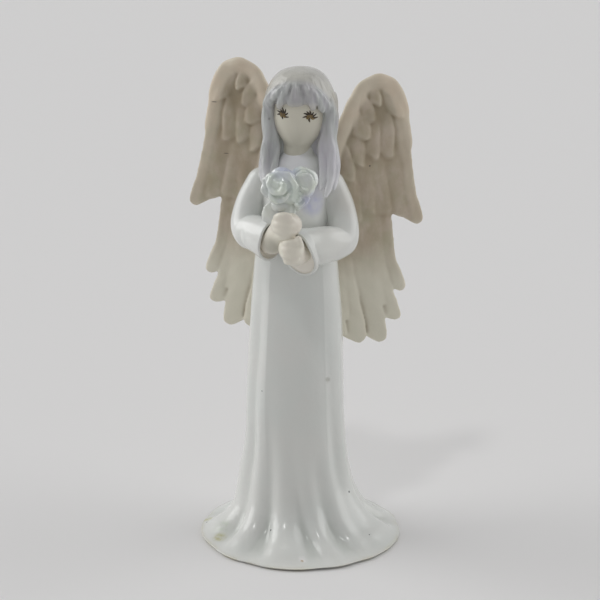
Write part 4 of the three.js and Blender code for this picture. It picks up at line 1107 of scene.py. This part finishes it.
# Feathers from the lowest layer to the top one, in mm of the wing's plane (out, up): the line of
# the outer edge, half the width, and the share of the length over which the end slants back
FEATHERS = [
    [
        ([(6.0, 38), (6.8, 22), (8.8, 8), (9.7, 2.6)], 3.3, 0.07),
        ([(9.5, 44), (11, 26), (14.3, 10), (15.9, 0.3)], 3.6, 0.06),
        ([(13, 50), (15.5, 28), (20.3, 12), (22.2, 6), (22.6, -0.1)], 3.8, 0.06),
        ([(17, 54), (20, 32), (23.4, 19), (25.7, 12), (26.6, 7.4)], 3.3, 0.06),
        ([(21.6, 56), (23.0, 42), (24.3, 30.5), (26.4, 23.7), (28.3, 17.0)], 3.0, 0.07),
    ],
    [
        ([(11.6, 60), (12.6, 50), (13.9, 39.1)], 2.6, 0.12),
        ([(15.8, 62), (16.9, 51), (17.9, 41.6)], 2.7, 0.08),
        ([(20.4, 63), (21.7, 52), (22.8, 41.6)], 2.8, 0.07),
        ([(24.8, 63), (26.5, 51), (27.8, 40.4)], 3.0, 0.09),
        ([(27.6, 75), (29.0, 64), (30.3, 50), (31.6, 44), (32.6, 38.0)], 3.3, 0.1),
    ],
    [
        ([(9.0, 64), (11.2, 58), (11.4, 52.2)], 2.1, 0.1),
        ([(13.4, 68), (14.8, 62), (14.8, 56.6)], 2.0, 0.12),
        ([(18.0, 73), (19.2, 66), (19.1, 59.0)], 2.2, 0.1),
        ([(22.8, 73.5), (23.8, 67), (23.6, 59.4)], 2.4, 0.1),
    ],
    [
        ([(12.6, 74.5), (15.8, 70), (16.2, 65.4)], 2.6, 0.14),
        ([(14.6, 79.5), (17.0, 75), (17.2, 70.6)], 2.0, 0.14),
        ([(18.8, 81), (19.8, 78), (19.6, 75.2)], 1.8, 0.2),
        ([(22.4, 82), (25.6, 76.5), (27.4, 71.8)], 2.3, 0.3),
    ],
]
FEATHER_LEAN = [0.17, 0.13, 0.11, 0.11]  # how far each row's feathers lean over the next one inwards
feather_width = smooth_between([(0, 0.6), (0.3, 0.9), (0.6, 1), (1, 0.94)])

# The rest in shares of the span and height: the webs under the feathers, each a line and its half
# width by share of its length, the wing's rounded upper rim, and its root
WEBS = (
    ([(0.56, 0.955), (0.53, 0.8), (0.5, 0.65), (0.53, 0.49)], [(0, 0.12), (0.33, 0.3), (1, 0.37)]),
    ([(0.36, 0.6), (0.45, 0.4), (0.58, 0.14)], [(0, 0.3), (0.5, 0.26), (0.8, 0.22), (1, 0.14)]),
    ([(0.12, 0.64), (0.2, 0.35), (0.28, 0.1)], [(0, 0.1), (0.7, 0.11), (1, 0.05)]),
)
RIM = [
    (0.07, 0.5), (0.1, 0.6), (0.14, 0.69), (0.21, 0.77), (0.29, 0.845), (0.37, 0.91), (0.46, 0.952),
    (0.56, 0.97), (0.66, 0.962), (0.735, 0.935), (0.795, 0.89), (0.825, 0.835), (0.84, 0.76), (0.85, 0.69),
]
ROOT = [(0.02, 0.36), (0.05, 0.5), (0.08, 0.64)]


def seat_wing(plane, seat):
    """Brings points of a wing's own plane to where the wing sits."""
    x, y, z = plane.T
    z = z + WING_CURL * (x / SPAN) ** 3
    y = y - WING_HEIGHT * 0.5
    tip, sweep = math.radians(seat["tip"]), math.radians(seat["sweep"])
    x, y = x * math.cos(tip) - y * math.sin(tip), x * math.sin(tip) + y * math.cos(tip)
    x, back = x * math.cos(sweep) + z * math.sin(sweep), x * math.sin(sweep) - z * math.cos(sweep)
    return np.stack([seat["side"] * (x + seat["out"]), back + WING_BACK, y + ROOT_HEIGHT + seat["lift"]], 1)


def on_wing(shares, front=0.0):
    return [(x * SPAN, y * WING_HEIGHT, front) for x, y in shares]


def feather(edge, half, slant, level):
    t = np.linspace(0, 1, 48)
    line, along = spline([(x, y, 0) for x, y in edge], t)
    inward = np.stack([along[:, 1], -along[:, 0], 0 * t], 1)
    end = mix(0.1, 1.0, np.clip((1 - t) / (slant + 0.05), 0, 1) ** 0.6)
    width = half * np.minimum(feather_width(t), end)
    round_off = 0.5 * half * (1 - np.sqrt(1 - np.clip((t - 0.93) / 0.07, 0, 1) ** 2))
    thick = 0.8 * mix(0.75, 1.0, t) * rounded(t, 0.08, 0.3)
    c, s = (np.sign(way) * np.abs(way) ** 0.8 for way in circle(24))
    front = mix(0.3 * level - 0.3, 0.42 * level - 0.1, t)
    middle = line + inward * (width + round_off)[:, None] + [0, 0, 1] * front[:, None]
    return skin(
        middle[:, None] + inward[:, None] * (width[:, None] * c)[..., None]
        + np.array([0, 0, 1.0]) * (thick[:, None] * s - FEATHER_LEAN[level] * width[:, None] * c)[..., None]
    )


def wing(seat):
    """A wing where it sits, and the masks for its wash."""
    parts = [feather(*shape, level) for level, row in enumerate(FEATHERS) for shape in row]
    for line, halves in WEBS:
        spread = smooth_between(halves)
        parts.append(rod(on_wing(line, -0.4), lambda t: (SPAN * spread(t), 1.15), (1, 0, 0), 30, 24))
    # the rod's wide way is the wing's front here
    parts.append(rod(
        on_wing(RIM),
        lambda t: (mix(1.7, 1.15, t) * rounded(t, 0.1, 0.3), mix(2.5, 1.9, t) * rounded(t, 0.1, 0.35)),
        (0, 0, 1), 120, 28,
    ))
    parts.append(rod(on_wing(ROOT), blunt(SPAN * 0.12, ROOT_THICKNESS / 2, 0.3, 0.3), (1, 0, 0), 40, 28))
    points, quads, tris = melted(parts, 0.27, 18)
    line, _ = spline(on_wing(RIM), np.linspace(0, 1, 200))
    edge, _ = spline([(x - 1.0, y, 0) for x, y in FEATHERS[1][-1][0]], np.linspace(0, 1, 60))
    away = np.full(len(points), 1e9)
    for place in np.concatenate([line, edge]):
        away = np.minimum(away, np.hypot(points[:, 0] - place[0], points[:, 1] - place[1]))
    up = smoothstep(points[:, 1], WING_HEIGHT * 0.66, WING_HEIGHT * 0.86)
    masks = {
        "relief": relief(points, quads, 30),
        "rim": (1 - smoothstep(away, 1.2, 3.6)) * mix(0.55, 1, up),
        "low": 1 - smoothstep(points[:, 1], WING_HEIGHT * 0.16, WING_HEIGHT * 0.46),
    }
    # the long feathers spread, then the whole wing is a little uneven
    points[:, 0] += seat["spread"] * points[:, 0] / SPAN * (1 - smoothstep(points[:, 1], 46, 68))
    long_waves, short_waves = (
        np.stack([waves(points, length, seed), waves(points, length, seed + 1)], 1)
        for length, seed in ((13, 21), (5, 23))
    )
    points[:, :2] += 0.38 * (long_waves + 0.4 * short_waves)
    points[:, 2] += 0.16 * waves(points, 6, 25)
    if seat["side"] < 0:
        quads = quads[:, ::-1]
    return (seat_wing(points, seat), quads, tris), masks


# Everything is put together

def build():
    surface = robe()
    tree = tree_of(surface)
    white = white_glaze([(np.array(tree.find_nearest(Vector(place))[0]), size) for place, size in SPECKS])
    add_piece("robe_skin", surface, white, "white_glaze", ["robe"], 60, fold=folds_mask(surface[0]))

    flesh = flesh_glaze()
    surface = head()
    add_piece("head_skin", surface, flesh, "flesh_glaze", ["head"], 30)
    dark = paint("lash_paint", (0.03, 0.02, 0.01), 0.8, 0.6, (0.09, 0.055, 0.02)).done(0.35)
    gold = paint("gold_paint", (0.11, 0.07, 0.025), 0.6, 0.8, (0.27, 0.19, 0.07)).done(0.3)
    for colour, material, proud, widen in (("dark", dark, 0.035, 1.4), ("gold", gold, 0.075, 1.05)):
        strokes = eye_paint(tree_of(surface), EYE_STROKES[colour], proud, widen)
        add_piece(f"eyes_{colour}", strokes, material, "flesh_glaze")

    surface = hair()
    nodes = ["hair_crown", "lock_left", "lock_right", "hair_back"]
    add_piece("hair_skin", surface, hair_glaze(), "hair_glaze", nodes, 14, crown=crown_mask(surface[0]))

    for name, arm in ARMS.items():
        surface, inner = sleeve(arm)
        add_piece(f"sleeve_{name}_skin", surface, white, "white_glaze", [f"sleeve_{name}"], 20, inner=inner)
        add_piece(f"hand_{name}_skin", hand(arm), flesh, "flesh_glaze", [f"hand_{name}"], 20)

    petals = petal_glaze("petal_glaze", (0.72, 0.77, 0.67), (0.60, 0.67, 0.61), (0.64, 0.67, 0.70))
    leaves = petal_glaze("leaf_glaze", (0.62, 0.66, 0.60), (0.64, 0.68, 0.61), (0.62, 0.64, 0.66))
    for name, parts in flowers().items():
        points, quads, tris = melted(parts, 0.15, 5)
        uneven = 0.32 * waves(points, 3.6, 11) + 0.14 * waves(points, 1.9, 12)
        points = relaxed(points + normals(points, quads) * uneven[:, None], quads, 2)
        glaze, slot = (petals, "petal_glaze") if name in BLOSSOMS else (leaves, "leaf_glaze")
        add_piece(f"{name}_skin", (points, quads, tris), glaze, slot, [name], 16)
    add_piece("stems_skin", melted(stems(), 0.2, 3), leaves, "leaf_glaze", ["stems"], 14)

    bisque = wing_bisque()
    for name, seat in SEATS.items():
        surface, masks = wing(seat)
        add_piece(f"wing_{name}_skin", surface, bisque, "wing_bisque", [f"wing_{name}"], **masks)


# Table, light and camera

TABLE_HALF = 6.0  # in metres
AIM = (0, 0, 74.0)
CAMERA_AZIMUTH, CAMERA_ELEVATION, CAMERA_DISTANCE = 6, 17, 500


def table():
    corners = [(x * TABLE_HALF, y * TABLE_HALF, 0) for x, y in ((-1, -1), (1, -1), (1, 1), (-1, 1))]
    top = new_object("table", corners, [(0, 1, 2, 3)])
    top.data.materials.append(Finish("table", (0.787, 0.780, 0.779)).done(0.6, Specular_IOR_Level=0.2))


def way_towards(azimuth, elevation):
    """azimuth is in degrees round from the front, towards the figure's left."""
    a, e = math.radians(azimuth), math.radians(elevation)
    return Vector((math.sin(a) * math.cos(e), -math.cos(a) * math.cos(e), math.sin(e)))


def placed(name, data, azimuth, elevation):
    """An object that looks back from that way."""
    holder = bpy.data.objects.new(name, data)
    holder.rotation_euler = (-way_towards(azimuth, elevation)).to_track_quat("-Z", "Y").to_euler()
    scene.collection.objects.link(holder)
    return holder


def sun(name, azimuth, elevation, strength, angle):
    light = bpy.data.lights.new(name, "SUN")
    light.energy = strength
    light.angle = math.radians(angle)
    placed(name, light, azimuth, elevation)


def lighting():
    """Soft light all round, weaker from the camera's side and from above, a broad light at each side
    and one small lamp."""
    world = bpy.data.worlds.new("studio")
    world.use_nodes = True
    tree = world.node_tree
    way = node(tree, "TexCoord", output="Generated")
    back = ranged(tree, node(tree, "SeparateXYZ", {"Vector": way}, "Y"), -0.9, 0.3, 0.36, 0.6)
    top = ranged(tree, node(tree, "SeparateXYZ", {"Vector": way}, "Z"), 0.3, 1.0, 1.0, 0.6)
    background = tree.nodes["Background"]
    feed(tree, node(tree, "Math", {0: back, 1: top}, operation="MULTIPLY"), background.inputs["Strength"])
    background.inputs["Color"].default_value = (1, 1, 1, 1)
    scene.world = world
    sun("side_left", 105, 29, 0.8, 55)
    sun("side_right", -98, 29, 1.22, 48)
    sun("above", -25, 62, 0.28, 6)


def camera():
    lens = bpy.data.cameras.new("camera")
    lens.sensor_width = 36
    lens.lens = 99
    lens.clip_start = 0.01
    holder = placed("camera", lens, CAMERA_AZIMUTH, CAMERA_ELEVATION)
    away = way_towards(CAMERA_AZIMUTH, CAMERA_ELEVATION) * CAMERA_DISTANCE
    holder.location = (np.array(AIM) + away) * MM + AXIS
    scene.camera = holder


build()
table()
lighting()
camera()
scene.view_settings.view_transform = "Standard"
